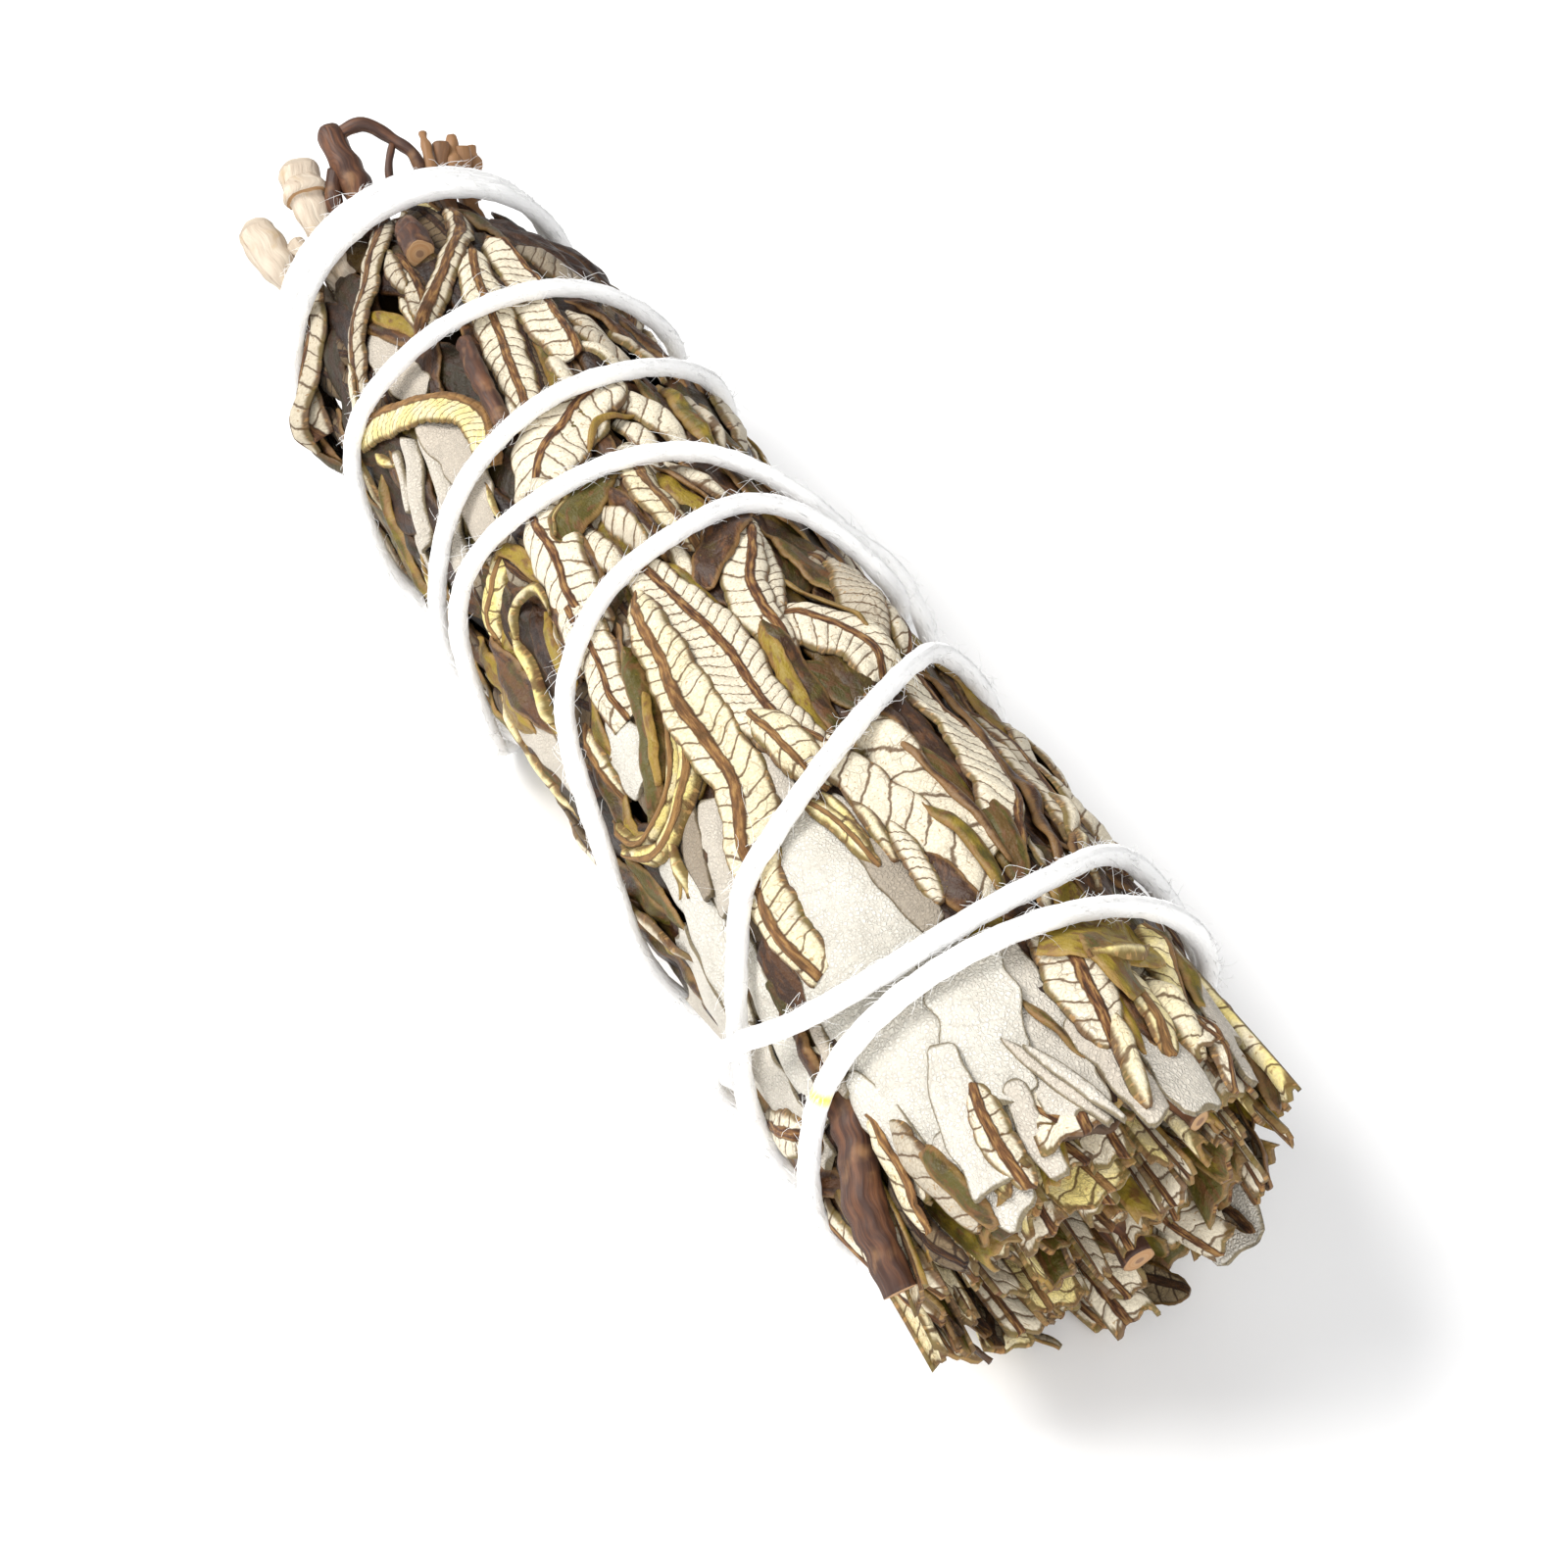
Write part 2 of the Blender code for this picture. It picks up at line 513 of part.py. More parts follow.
def stem_line(controls, longer=0.0):
    """Points along a stem, run on past both its ends by a little where it cuts its own hole."""
    steps = STEM_STEPS * (len(controls) - 1)
    line = [smooth_point(controls, i / steps) for i in range(steps + 1)]
    for end, inner in ((0, 1), (-1, -2)):
        step = math.hypot(line[end][0] - line[inner][0], line[end][2] - line[inner][2], 0.5)
        outer = [e + (e - i) * longer / step for e, i in zip(line[end][:3], line[inner][:3])]
        line[end] = outer + [line[end][3]]
    return line


def as_mesh(thing, collection):
    """The object as a closed mesh of its own, in place of the first one."""
    graph = bpy.context.evaluated_depsgraph_get()
    mesh = bpy.data.meshes.new_from_object(thing.evaluated_get(graph))
    shape = bmesh.new()
    shape.from_mesh(mesh)
    bmesh.ops.remove_doubles(shape, verts=shape.verts[:], dist=0.00001)
    bmesh.ops.recalc_face_normals(shape, faces=shape.faces[:])
    shape.to_mesh(mesh)
    shape.free()
    solid = bpy.data.objects.new(thing.name, mesh)
    solid.matrix_world = thing.matrix_world
    name = thing.name
    bpy.data.objects.remove(thing, do_unlink=True)
    solid.name = name
    collection.objects.link(solid)
    return solid


def apply_modifiers(target):
    graph = bpy.context.evaluated_depsgraph_get()
    mesh = bpy.data.meshes.new_from_object(target.evaluated_get(graph))
    target.modifiers.clear()
    target.data = mesh


def combine(target, collection, operation):
    """Applies one Boolean of a whole collection and removes the collection's objects."""
    boolean = target.modifiers.new("Combine", "BOOLEAN")
    boolean.operation = operation
    boolean.operand_type = "COLLECTION"
    boolean.collection = collection
    boolean.solver = "MANIFOLD"
    apply_modifiers(target)
    for used in list(collection.objects):
        bpy.data.objects.remove(used, do_unlink=True)


def simplify(target, triangles):
    """Merges the small facets that crossing leaves give each other."""
    decimate = target.modifiers.new("Simplify", "DECIMATE")
    decimate.ratio = triangles / max(triangles, len(target.data.loop_triangles))
    decimate.use_collapse_triangulate = True
    apply_modifiers(target)


def keep_main_body(target):
    """Drops loose scraps and fills sealed hollows, so that one body is left."""
    shape = bmesh.new()
    shape.from_mesh(target.data)
    waiting = set(shape.faces)
    bodies = []
    while waiting:
        body = set()
        stack = [waiting.pop()]
        while stack:
            face = stack.pop()
            body.add(face)
            for edge in face.edges:
                for other in edge.link_faces:
                    if other in waiting:
                        waiting.discard(other)
                        stack.append(other)
        bodies.append(body)
    bodies.sort(key=len)
    for body in bodies[:-1]:
        bmesh.ops.delete(shape, geom=list(body), context="FACES")
    shape.to_mesh(target.data)
    shape.free()


def fill_leaves(rng):
    """The leaves that fill the bundle where no leaf is listed."""
    leaves = []
    for row, (start, stop) in enumerate(FILL_ROWS):
        for k in range(FILL_ROUND):
            angle = 360 * (k + 0.5 * (row % 2)) / FILL_ROUND + rng.uniform(-4, 4)
            slant = rng.uniform(-7, 7)
            lay = rng.uniform(-0.3, 0.25)
            width = rng.uniform(5.2, 6.4)
            x0 = start + rng.uniform(-2, 2)
            x1 = stop + rng.uniform(-3, 2.5)
            middle = angle + rng.uniform(-7, 7)
            facing = (angle - COVERED_ANGLES[0]) % 360 < COVERED_ANGLES[1] - COVERED_ANGLES[0]
            if facing:
                lay -= 0.6
                if k % 2:
                    continue
            leaves.append((lay, width, (x0, angle - slant), ((x0 + x1) / 2, middle), (x1, angle + slant)))
    return leaves


def foliage(parts, work):
    """The yerba santa leaves as one body, clear of the string, sage and stems."""
    rng = random.Random(SEED)
    body = core(parts)
    for lay, width, *midline in fill_leaves(rng) + list(YERBA_LEAVES) + [REST_LEAF]:
        leaf_blade(lay, width, midline, work)
    for radius, count in END_RINGS:
        for k in range(count):
            angle = 360 * k / count + rng.uniform(-8, 8) + 20 * radius
            reach = CORE_END + rng.uniform(1.6, 5.0)
            end_blade(radius, angle, rng.uniform(3.4, 4.8), CORE_END - END_BLADE_ROOT, reach, work)
    for radius, count in BUTT_RINGS:
        for k in range(count):
            angle = 360 * k / count + rng.uniform(-12, 12) + 15 * radius
            reach = CORE_START - rng.uniform(1.2, 4.4)
            end_blade(radius, angle, rng.uniform(1.8, 3.0), reach, CORE_START + END_BLADE_ROOT, work)
    combine(body, work, "UNION")
    keep_main_body(body)
    return body


def table_cutter(work):
    """What the bundle lies on, which presses its lowest leaves flat."""
    length, width, depth = TABLE_SIZE
    bpy.ops.mesh.primitive_cube_add(size=1, location=(0, 0, -depth / 2 * MM))
    table = bpy.context.active_object
    table.scale = (length * MM, width * MM, depth * MM)
    for collection in list(table.users_collection):
        collection.objects.unlink(table)
    work.objects.link(table)
    bpy.context.view_layer.update()


def neighbour_cutters(work):
    """The room that the string, the sage leaves and the stems take in the foliage."""
    line = [(*point, STRING_DIAMETER / 2) for point in STRING_CENTRE]
    as_mesh(tube("string_cutter", line, work, "cotton", grow=GAP), work)
    for name, lay, width, columns, midline in SAGE_LEAVES:
        leaf_pocket(lay, width, columns, midline, work)
    for k, controls in enumerate([line for name, line in STEMS] + list(KNOB_BRANCHES)):
        room = stem_line(controls, STEM_OVERCUT)
        as_mesh(tube(f"stem_cutter_{k}", room, work, "stem_wood", grow=STEM_ROOM), work)
    for cutter in work.objects:
        cutter.hide_render = True
        cutter.display_type = "WIRE"


def main():
    clear_scene()
    parts = new_collection("sage_smudge_stick")
    work = new_collection("cutters")
    body = foliage(parts, work)
    simplify(body, FOLIAGE_TRIANGLES)
    table_cutter(work)
    neighbour_cutters(work)
    combine(body, work, "DIFFERENCE")
    keep_main_body(body)
    for name, lay, width, columns, midline in SAGE_LEAVES:
        leaf_sheet(name, lay, width, columns, midline, parts)
    for name, controls in STEMS:
        tube(name, stem_line(controls), parts, "stem_wood")
    knob = as_mesh(parts.objects["woody_stem_knob"], parts)
    for k, controls in enumerate(KNOB_BRANCHES):
        as_mesh(tube(f"branch_{k}", stem_line(controls), work, "stem_wood"), work)
    combine(knob, work, "UNION")
    line = [(*point, STRING_DIAMETER / 2) for point in STRING_CENTRE]
    tube("cotton_string", line, parts, "cotton")


main()
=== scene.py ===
"""A herb smudge stick as a finished object: dried yerba santa and white sage leaves
round a few woody stems, wound with white cotton string and lying on a pale floor.

Places on the bundle are given as (x in mm, angle in degrees): x runs along the bundle
from the wrapped butt to the cut end, and the angle is 0 on top, grows towards -Y and is
180 underneath. Heights are distances from the bundle's axis in mm.
"""
import math
import random

import bpy
import numpy as np
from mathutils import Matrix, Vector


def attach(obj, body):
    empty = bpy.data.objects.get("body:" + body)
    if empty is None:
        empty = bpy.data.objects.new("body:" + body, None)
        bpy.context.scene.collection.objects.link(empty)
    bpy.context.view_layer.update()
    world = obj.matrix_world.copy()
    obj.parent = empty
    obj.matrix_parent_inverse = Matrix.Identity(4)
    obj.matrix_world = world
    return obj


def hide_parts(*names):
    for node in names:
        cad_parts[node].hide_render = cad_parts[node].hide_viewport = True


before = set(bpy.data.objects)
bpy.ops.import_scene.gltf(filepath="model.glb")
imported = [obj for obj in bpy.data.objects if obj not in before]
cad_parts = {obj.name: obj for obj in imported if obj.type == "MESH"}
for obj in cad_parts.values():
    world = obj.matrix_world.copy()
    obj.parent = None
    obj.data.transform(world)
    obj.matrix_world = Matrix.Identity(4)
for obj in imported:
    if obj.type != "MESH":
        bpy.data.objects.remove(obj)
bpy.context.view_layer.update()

MM = 0.001

# THE STRING'S ROUTE
# One white cotton string holds the whole bundle. It is wound first in a few close turns
# round the butt, then in slack open turns to the cut end and back over itself. Its route
# comes first here, because every leaf is pressed in where the string runs over it.
AXIS_HEIGHT = 15.3
CENTRE_SHIFT = -0.65
PROFILE_X = (-57, -50, -42, -20, 10, 45, 57, 66)
PROFILE_RADIUS = (14.2, 14.9, 16.0, 16.4, 16.5, 16.6, 16.3, 15.4)
STRING_RADIUS = 0.8
STRING_BED = 0.1
STRING_STEP = 0.36
WRAP_START = -56.9
WRAP_PITCH = 1.75
WRAP_ANGLES = range(210, 1140, 60)
# x in mm, running angle in degrees, and lift in mm where the string crosses over itself
STRING_ROUTE = (
    (-51.4, 1170, 0), (-48, 1240, 0), (-41, 1310, 0), (-35, 1350, 0), (-31.8, 1382, 0),
    (-32.5, 1420, 0), (-32.7, 1450, 0), (-33.4, 1480, 0), (-34.4, 1505, 0), (-33.6, 1521, 0),
    (-30.6, 1538, 0), (-29.4, 1560, 0), (-29, 1620, 0), (-26.5, 1680, 0), (-22.5, 1738, 0),
    (-20.5, 1757, 0), (-18.6, 1785, 0), (-17.8, 1815, 0), (-16.4, 1850, 0), (-14.4, 1875, 0),
    (-13.2, 1895, 0), (-10, 1935, 0), (-6, 1980, 0), (-1, 2030, 0), (5, 2075, 0),
    (7.4, 2096, 0), (5, 2112, 0), (2.2, 2128, 0), (1.4, 2145, 0), (2.6, 2166, 0),
    (3.9, 2193, 0), (6.9, 2217, 0), (10.5, 2228, 0), (14.5, 2235, 0), (18.6, 2243, 0),
    (22, 2258, 0), (24, 2290, 0), (24, 2340, 0), (22.5, 2400, 0), (20.2, 2455, 0),
    (20.1, 2478, 0), (22.4, 2493, 0), (26, 2512, 0), (29.6, 2534, 0), (31.9, 2553, 0),
    (33.2, 2568, 0), (36.4, 2582, 0), (38.8, 2594, 0), (40.6, 2606, 0), (43.5, 2635, 0),
    (46, 2680, 0), (47, 2730, 0), (48.3, 2770, 0), (49.6, 2810, 0), (49.7, 2840, 0),
    (49.5, 2880, 0), (48.7, 2922, 0), (48.9, 2945, 0), (50, 2965, 0), (50.6, 3000, 0),
    (50.6, 3050, 0), (50.2, 3090, 0.2), (49.3, 3112, 1.5), (48.3, 3130, 1.9), (47, 3147, 1.6),
    (45.4, 3166, 0.3), (43.7, 3188, 0), (44.3, 3205, 0), (46.5, 3230, 0), (47.1, 3258, 0),
    (46.1, 3280, 0), (43.8, 3299, 0.2), (41.4, 3312, 1.5), (39.6, 3324, 1.9), (38.2, 3338, 1.4),
    (37, 3356, 0.1), (35.5, 3390, 0), (33, 3420, 0), (29.5, 3443, 0.2), (25.6, 3457, 1.5),
    (22.4, 3467, 1.9), (18.6, 3480, 1.3), (15, 3492, 0.4), (10, 3505, 1.4), (6, 3516, 1.9),
    (3.2, 3528, 1.5), (1.2, 3542, 0.1), (-0.8, 3556, 0), (-3.6, 3570, 0), (-6, 3585, 0),
    (-7.4, 3605, 0), (-8.6, 3630, 0), (-10.1, 3653, 0), (-10.4, 3668, 0), (-9.4, 3681, 0),
    (-7.6, 3692, 0), (-6.2, 3704, 0.1), (-7.3, 3718, 0.6), (-10, 3731, 1.7), (-12.8, 3743, 1.8),
    (-15.6, 3755, 0.6), (-18.2, 3767, 0), (-22, 3797, 0.1), (-25, 3818, 1.5), (-28, 3832, 1.9),
    (-32, 3844, 1.9), (-37, 3856, 1.9), (-41, 3866, 1.4), (-44.5, 3875, 0.2), (-47, 3884, 0),
)


def bundle_radius(x):
    return np.interp(x, PROFILE_X, PROFILE_RADIUS)


def place(x, angle, radius):
    """Points in metres at places on the bundle."""
    turn = np.radians(angle)
    across = -radius * np.sin(turn)
    height = AXIS_HEIGHT + radius * np.cos(turn)
    return np.stack((x - CENTRE_SHIFT + 0 * across, across, height), axis=-1) * MM


def smooth_line(points, t):
    """Points at t, from 0 to 1, on the smooth curve through the control points."""
    points = np.asarray(points, float)
    span = np.clip(t, 0, 1) * (len(points) - 1)
    i = np.minimum(span.astype(int), len(points) - 2)
    f = (span - i)[:, None]
    a = points[np.maximum(i - 1, 0)]
    b = points[i]
    c = points[i + 1]
    d = points[np.minimum(i + 2, len(points) - 1)]
    return 0.5 * (2 * b + (c - a) * f + (2 * a - 5 * b + 4 * c - d) * f**2 + (3 * b - a - 3 * c + d) * f**3)


def even_steps(line, places, step):
    """The rows of line that lie a step apart in mm along its places in metres."""
    run = np.concatenate(([0], np.cumsum(np.linalg.norm(np.diff(places, axis=0), axis=1)))) / MM
    wanted = np.linspace(0, run[-1], max(2, round(run[-1] / step) + 1))
    return np.stack([np.interp(wanted, run, line[:, k]) for k in range(line.shape[1])], axis=1)


wraps = [(WRAP_START + WRAP_PITCH * (angle - 360) / 360, angle, 0) for angle in WRAP_ANGLES]
route = wraps + list(STRING_ROUTE)
string_line = smooth_line(route, np.linspace(0, 1, 30 * len(route)))
string_line[:, 2] += bundle_radius(string_line[:, 0]) - STRING_BED
underside = -np.cos(np.radians(string_line[:, 1]))
lowest = (AXIS_HEIGHT - STRING_RADIUS) / np.maximum(underside, 1e-6)
string_line[:, 2] = np.where(underside > 0, np.minimum(string_line[:, 2], lowest), string_line[:, 2])
string_line = even_steps(string_line, place(*string_line.T), STRING_STEP)
string_centre = place(*string_line.T)

# THE PACKED LEAVES AND THEIR HEIGHTS
# The bundle is built up leaf by leaf from the inside out. Two maps over the bundle hold
# how high its leaves stand so far, and how high a leaf may stand beside and under the
# string and on the floor. A leaf drapes over the first map and is pressed in by the second.
MAP_START = -62.0
MAP_STEP = 0.4
MAP_COLUMNS = 330
MAP_TURNS = 300
CORE_DEPTH = 2.5
HEADROOM = 2.0
FLOOR_GAP = 0.02
STRING_BITE = 0.12
PRESS_REACH = 5.0
PRESS_SLOPE = 0.6
PRESS_SOFTNESS = 0.12

map_x = MAP_START + MAP_STEP * np.arange(MAP_COLUMNS)
map_turn = 360 / MAP_TURNS
map_angle = map_turn * np.arange(MAP_TURNS)
heights = np.repeat((bundle_radius(map_x) - CORE_DEPTH)[:, None], MAP_TURNS, axis=1)
limits = np.repeat((bundle_radius(map_x) + HEADROOM)[:, None], MAP_TURNS, axis=1)
down = -np.cos(np.radians(map_angle))
limits = np.where(down > 0, np.minimum(limits, (AXIS_HEIGHT - FLOOR_GAP) / np.maximum(down, 1e-6)), limits)
for string_x, string_angle, string_radius in string_line:
    first = int((string_x - PRESS_REACH - MAP_START) / MAP_STEP)
    columns = np.arange(max(first, 0), min(first + round(2 * PRESS_REACH / MAP_STEP), MAP_COLUMNS))
    middle = round(string_angle / map_turn)
    reach = round(math.degrees(PRESS_REACH / string_radius) / map_turn)
    turns = np.arange(middle - reach, middle + reach + 1)
    arc = np.radians(turns * map_turn - string_angle) * string_radius
    apart = np.hypot((map_x[columns] - string_x)[:, None], arc[None, :])
    press = string_radius - STRING_RADIUS + STRING_BITE + PRESS_SLOPE * np.maximum(apart - STRING_RADIUS, 0)
    window = np.ix_(columns, turns % MAP_TURNS)
    limits[window] = np.minimum(limits[window], press)


def read_map(field, x, angle):
    """The map's value at places on the bundle."""
    across = np.clip((x - MAP_START) / MAP_STEP, 0, MAP_COLUMNS - 1.001)
    round_it = (angle % 360) / map_turn
    i = across.astype(int)
    k = round_it.astype(int) % MAP_TURNS
    m = (k + 1) % MAP_TURNS
    f = across - i
    g = round_it - round_it.astype(int)
    here = field[i, k] * (1 - f) + field[i + 1, k] * f
    beside = field[i, m] * (1 - f) + field[i + 1, m] * f
    return here * (1 - g) + beside * g


def raise_map(x, angle, radius, spread):
    """Writes a leaf's outer side into the map of heights."""
    for dx, da in ((0, 0), (spread, 0), (-spread, 0), (0, spread), (0, -spread)):
        i = np.clip(((x + dx - MAP_START) / MAP_STEP).astype(int), 0, MAP_COLUMNS - 1)
        k = (((angle + 3.5 * da) % 360) / map_turn).astype(int) % MAP_TURNS
        np.maximum.at(heights, (i, k), radius)


def blur(spots, reach):
    """The matrix that evens out a row of heights at these spots over a reach in mm."""
    weight = np.exp(-0.5 * ((spots[:, None] - spots[None, :]) / reach) ** 2)
    return weight / weight.sum(1, keepdims=True)


def drape(x, angle, along, across, stiff_along, stiff_across):
    """How high a sheet lies on the leaves below it."""
    below = read_map(heights, x, angle)
    even_along = blur(along, stiff_along)
    even_across = blur(across, stiff_across)
    height = even_along @ below @ even_across.T
    for _ in range(3):
        height = height + 1.2 * even_along @ np.maximum(below - height, 0) @ even_across.T
    return height


def wander(rng, t, size, waves):
    """A smooth random value along t, which is in wavelengths."""
    total = np.zeros_like(t, dtype=float)
    for k in range(waves):
        total = total + math.cos(1.7 * k) * np.sin(2 * math.pi * (t * (0.6 + 0.55 * k) + rng.random()))
    return size * total / max(1, waves) ** 0.5


def new_sheaf():
    """Empty lists for the points, faces and maps of the leaves in one piece."""
    return {
        "points": [], "corners": [], "sizes": [], "slots": [],
        "leaf": [], "vein": [], "tone": [], "count": 0,
    }


def add_rings(sheaf, points, slots, leaf, vein, tone, cap_slot, flat=False):
    """Adds a closed skin round the rows of points, each row one ring, and closes its ends."""
    rows, columns = points.shape[:2]
    first = sheaf["count"]
    here = first + columns * np.arange(rows - 1)[:, None] + np.arange(columns)[None, :]
    beside = first + columns * np.arange(rows - 1)[:, None] + (np.arange(columns)[None, :] + 1) % columns
    quads = np.stack((here, beside, beside + columns, here + columns), axis=-1).reshape(-1, 4)
    sheaf["points"].append(points.reshape(-1, 3))
    sheaf["corners"].append(quads.ravel())
    sheaf["sizes"].append(np.full(len(quads), 4))
    sheaf["slots"].append(np.tile(slots, rows - 1))
    last = first + columns * (rows - 1)
    if flat:
        k = np.arange(columns // 2 - 1)
        cap = np.stack((k, k + 1, columns - 2 - k, columns - 1 - k), axis=-1)
        sheaf["corners"] += [(first + cap[:, ::-1]).ravel(), (last + cap).ravel()]
        sheaf["sizes"].append(np.full(2 * len(cap), 4))
        sheaf["slots"].append(np.full(2 * len(cap), cap_slot))
    else:
        sheaf["corners"] += [first + np.arange(columns)[::-1], last + np.arange(columns)]
        sheaf["sizes"].append(np.array((columns, columns)))
        sheaf["slots"].append(np.array((cap_slot, cap_slot)))
    sheaf["leaf"].append(leaf.reshape(-1, 2))
    sheaf["vein"].append(vein.reshape(-1, 2))
    sheaf["tone"].append(np.tile(tone, (rows * columns, 1)))
    sheaf["count"] += rows * columns


def make_piece(name, sheaf, materials, slot, *nodes):
    """One object of everything in the sheaf, in place of these solids."""
    mesh = bpy.data.meshes.new(name)
    points = np.concatenate(sheaf["points"])
    points[:, 2] = np.maximum(points[:, 2], 0.0)
    corners = np.concatenate(sheaf["corners"]).astype(np.int32)
    sizes = np.concatenate(sheaf["sizes"])
    mesh.vertices.add(len(points))
    mesh.vertices.foreach_set("co", points.ravel())
    mesh.loops.add(len(corners))
    mesh.loops.foreach_set("vertex_index", corners)
    mesh.polygons.add(len(sizes))
    mesh.polygons.foreach_set("loop_start", np.concatenate(([0], np.cumsum(sizes)[:-1])))
    mesh.polygons.foreach_set("material_index", np.concatenate(sheaf["slots"]))
    mesh.polygons.foreach_set("use_smooth", np.ones(len(sizes), bool))
    for layer in ("leaf", "vein", "tone"):
        spots = np.concatenate(sheaf[layer])[corners]
        mesh.uv_layers.new(name=layer).data.foreach_set("uv", spots.ravel())
    mesh.update(calc_edges=True)
    for material in materials:
        mesh.materials.append(material)
    piece = bpy.data.objects.new(name, mesh)
    bpy.context.scene.collection.objects.link(piece)
    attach(piece, "root")
    if nodes:
        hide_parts(*nodes)


# MATERIALS OF THE YERBA SANTA LEAVES
# A yerba santa leaf is pale and felted underneath, with a raised brown midrib and thin
# dark side veins, and olive to brown and sticky with resin above. Most dried leaves in
# the bundle are rolled back, so that the pale side shows.
def step(tree, kind, *values, **settings):
    """Adds a node. Its inputs, in order, are plain values or other nodes' outputs."""
    made = tree.nodes.new("ShaderNode" + kind)
    for setting, value in settings.items():
        setattr(made, setting, value)
    for k, value in enumerate(values):
        if isinstance(value, bpy.types.NodeSocket):
            tree.links.new(value, made.inputs[k])
        elif value is not None:
            made.inputs[k].default_value = value
    return made


def calc(tree, operation, *values):
    return step(tree, "Math", *values, operation=operation).outputs[0]


def band(tree, value, low, high):
    """0 below low, 1 above high, and smooth between them; low may be the higher one."""
    return step(tree, "MapRange", value, low, high, 0.0, 1.0, interpolation_type="SMOOTHSTEP").outputs[0]


def tint(tree, factor, first, second, blend="MIX"):
    """One colour over another."""
    mix = tree.nodes.new("ShaderNodeMix")
    mix.data_type = "RGBA"
    mix.blend_type = blend
    for socket, value in ((mix.inputs[0], factor), (mix.inputs[6], first), (mix.inputs[7], second)):
        if isinstance(value, bpy.types.NodeSocket):
            tree.links.new(value, socket)
        else:
            socket.default_value = value if socket.name == "Factor" else (*value, 1.0)
    return mix.outputs[2]


def uv_parts(tree, name):
    """The two numbers that a piece's map holds at each point."""
    spot = step(tree, "UVMap", uv_map=name).outputs[0]
    parts = step(tree, "SeparateXYZ", spot)
    return parts.outputs[0], parts.outputs[1]


def new_group(name, inputs, outputs):
    """An empty node group with number sockets; returns it with its inputs by name."""
    group = bpy.data.node_groups.new(name, "ShaderNodeTree")
    for label, value in inputs.items():
        made = group.interface.new_socket(label, in_out="INPUT", socket_type="NodeSocketFloat")
        made.default_value = value
    for label in outputs:
        group.interface.new_socket(label, in_out="OUTPUT", socket_type="NodeSocketFloat")
    return group, group.nodes.new("NodeGroupInput").outputs, group.nodes.new("NodeGroupOutput").inputs


def use_group(tree, group, **values):
    """Places a group with its inputs by name; returns its outputs."""
    made = tree.nodes.new("ShaderNodeGroup")
    made.node_tree = group
    for label, value in values.items():
        socket = made.inputs[label.replace("_", " ").capitalize()]
        if isinstance(value, bpy.types.NodeSocket):
            tree.links.new(value, socket)
        else:
            socket.default_value = value
    return made.outputs


def new_material(name, roughness):
    """A Principled material with its output; returns it, its tree and its shader."""
    material = bpy.data.materials.new(name)
    material.use_nodes = True
    tree = material.node_tree
    shader = tree.nodes["Principled BSDF"]
    shader.inputs["Roughness"].default_value = roughness
    return material, tree, shader


def add_relief(tree, shader, height, strength, depth):
    """Fine relief on the surface, this deep in metres."""
    bump = step(tree, "Bump", strength, depth)
    tree.links.new(height, bump.inputs["Height"])
    tree.links.new(bump.outputs[0], shader.inputs["Normal"])


# Soft blotches of a size in mm, drawn out along the leaf and different on each one
mottle, given, result = new_group("mottle", {"Size mm": 1.0, "Detail": 3.0, "Stretch": 1.0}, ["Value"])
across_mm, along_mm = uv_parts(mottle, "leaf")
chance, second_chance = uv_parts(mottle, "tone")
spot = step(
    mottle, "CombineXYZ",
    calc(mottle, "DIVIDE", across_mm, given["Size mm"]),
    calc(mottle, "DIVIDE", along_mm, calc(mottle, "MULTIPLY", given["Size mm"], given["Stretch"])),
    calc(mottle, "MULTIPLY", calc(mottle, "ADD", chance, second_chance), 61.0),
).outputs[0]
noise = step(mottle, "TexNoise", spot, None, 1.0, given["Detail"])
mottle.links.new(noise.outputs[0], result["Value"])

# The leaf's network: side veins from the midrib to the margin, the fine net between them,
# the midrib and the rolled margin
VEIN_WIDTH = 0.19
RIB_HALF = 0.40
network, given, result = new_group(
    "leaf_network", {"Vein width": VEIN_WIDTH, "Spacing": 1.6, "Rib half": RIB_HALF},
    ["Side veins", "Net", "Rib", "Rib side", "Margin", "Pads"],
)
across_mm, along_mm = uv_parts(network, "leaf")
phase, edge_mm = uv_parts(network, "vein")
chance, second_chance = uv_parts(network, "tone")
tremble = use_group(network, mottle, size_mm=0.9, detail=2.0)[0]
fine = use_group(network, mottle, size_mm=0.3, detail=2.0)[0]
slow = use_group(network, mottle, size_mm=2.6, detail=1.0)[0]
moved = calc(network, "ADD", phase, calc(network, "MULTIPLY", calc(network, "SUBTRACT", tremble, 0.5), 0.34))
from_line = calc(network, "ABSOLUTE", calc(network, "SUBTRACT", calc(network, "FRACT", moved), 0.5))
from_line = calc(network, "MULTIPLY", calc(network, "SUBTRACT", 0.5, from_line), given["Spacing"])
uneven = calc(
    network, "MULTIPLY", given["Vein width"], calc(network, "ADD", 0.2, calc(network, "MULTIPLY", slow, 1.2)),
)
lines = band(network, from_line, uneven, calc(network, "MULTIPLY", uneven, 0.3))
lines = calc(network, "MULTIPLY", lines, band(network, calc(network, "ADD", fine, slow), 0.55, 0.80))
pads = band(network, from_line, 0.0, 0.42)
rib_line = calc(network, "ABSOLUTE", across_mm)
rib_edge = calc(
    network, "MULTIPLY", given["Rib half"],
    calc(network, "ADD", 0.62, calc(network, "MULTIPLY", tremble, 0.8)),
)
rib = band(network, rib_line, rib_edge, calc(network, "MULTIPLY", rib_edge, 0.78))
rib_side = band(
    network, rib_line, calc(network, "MULTIPLY", rib_edge, 0.45), calc(network, "MULTIPLY", rib_edge, 0.95),
)
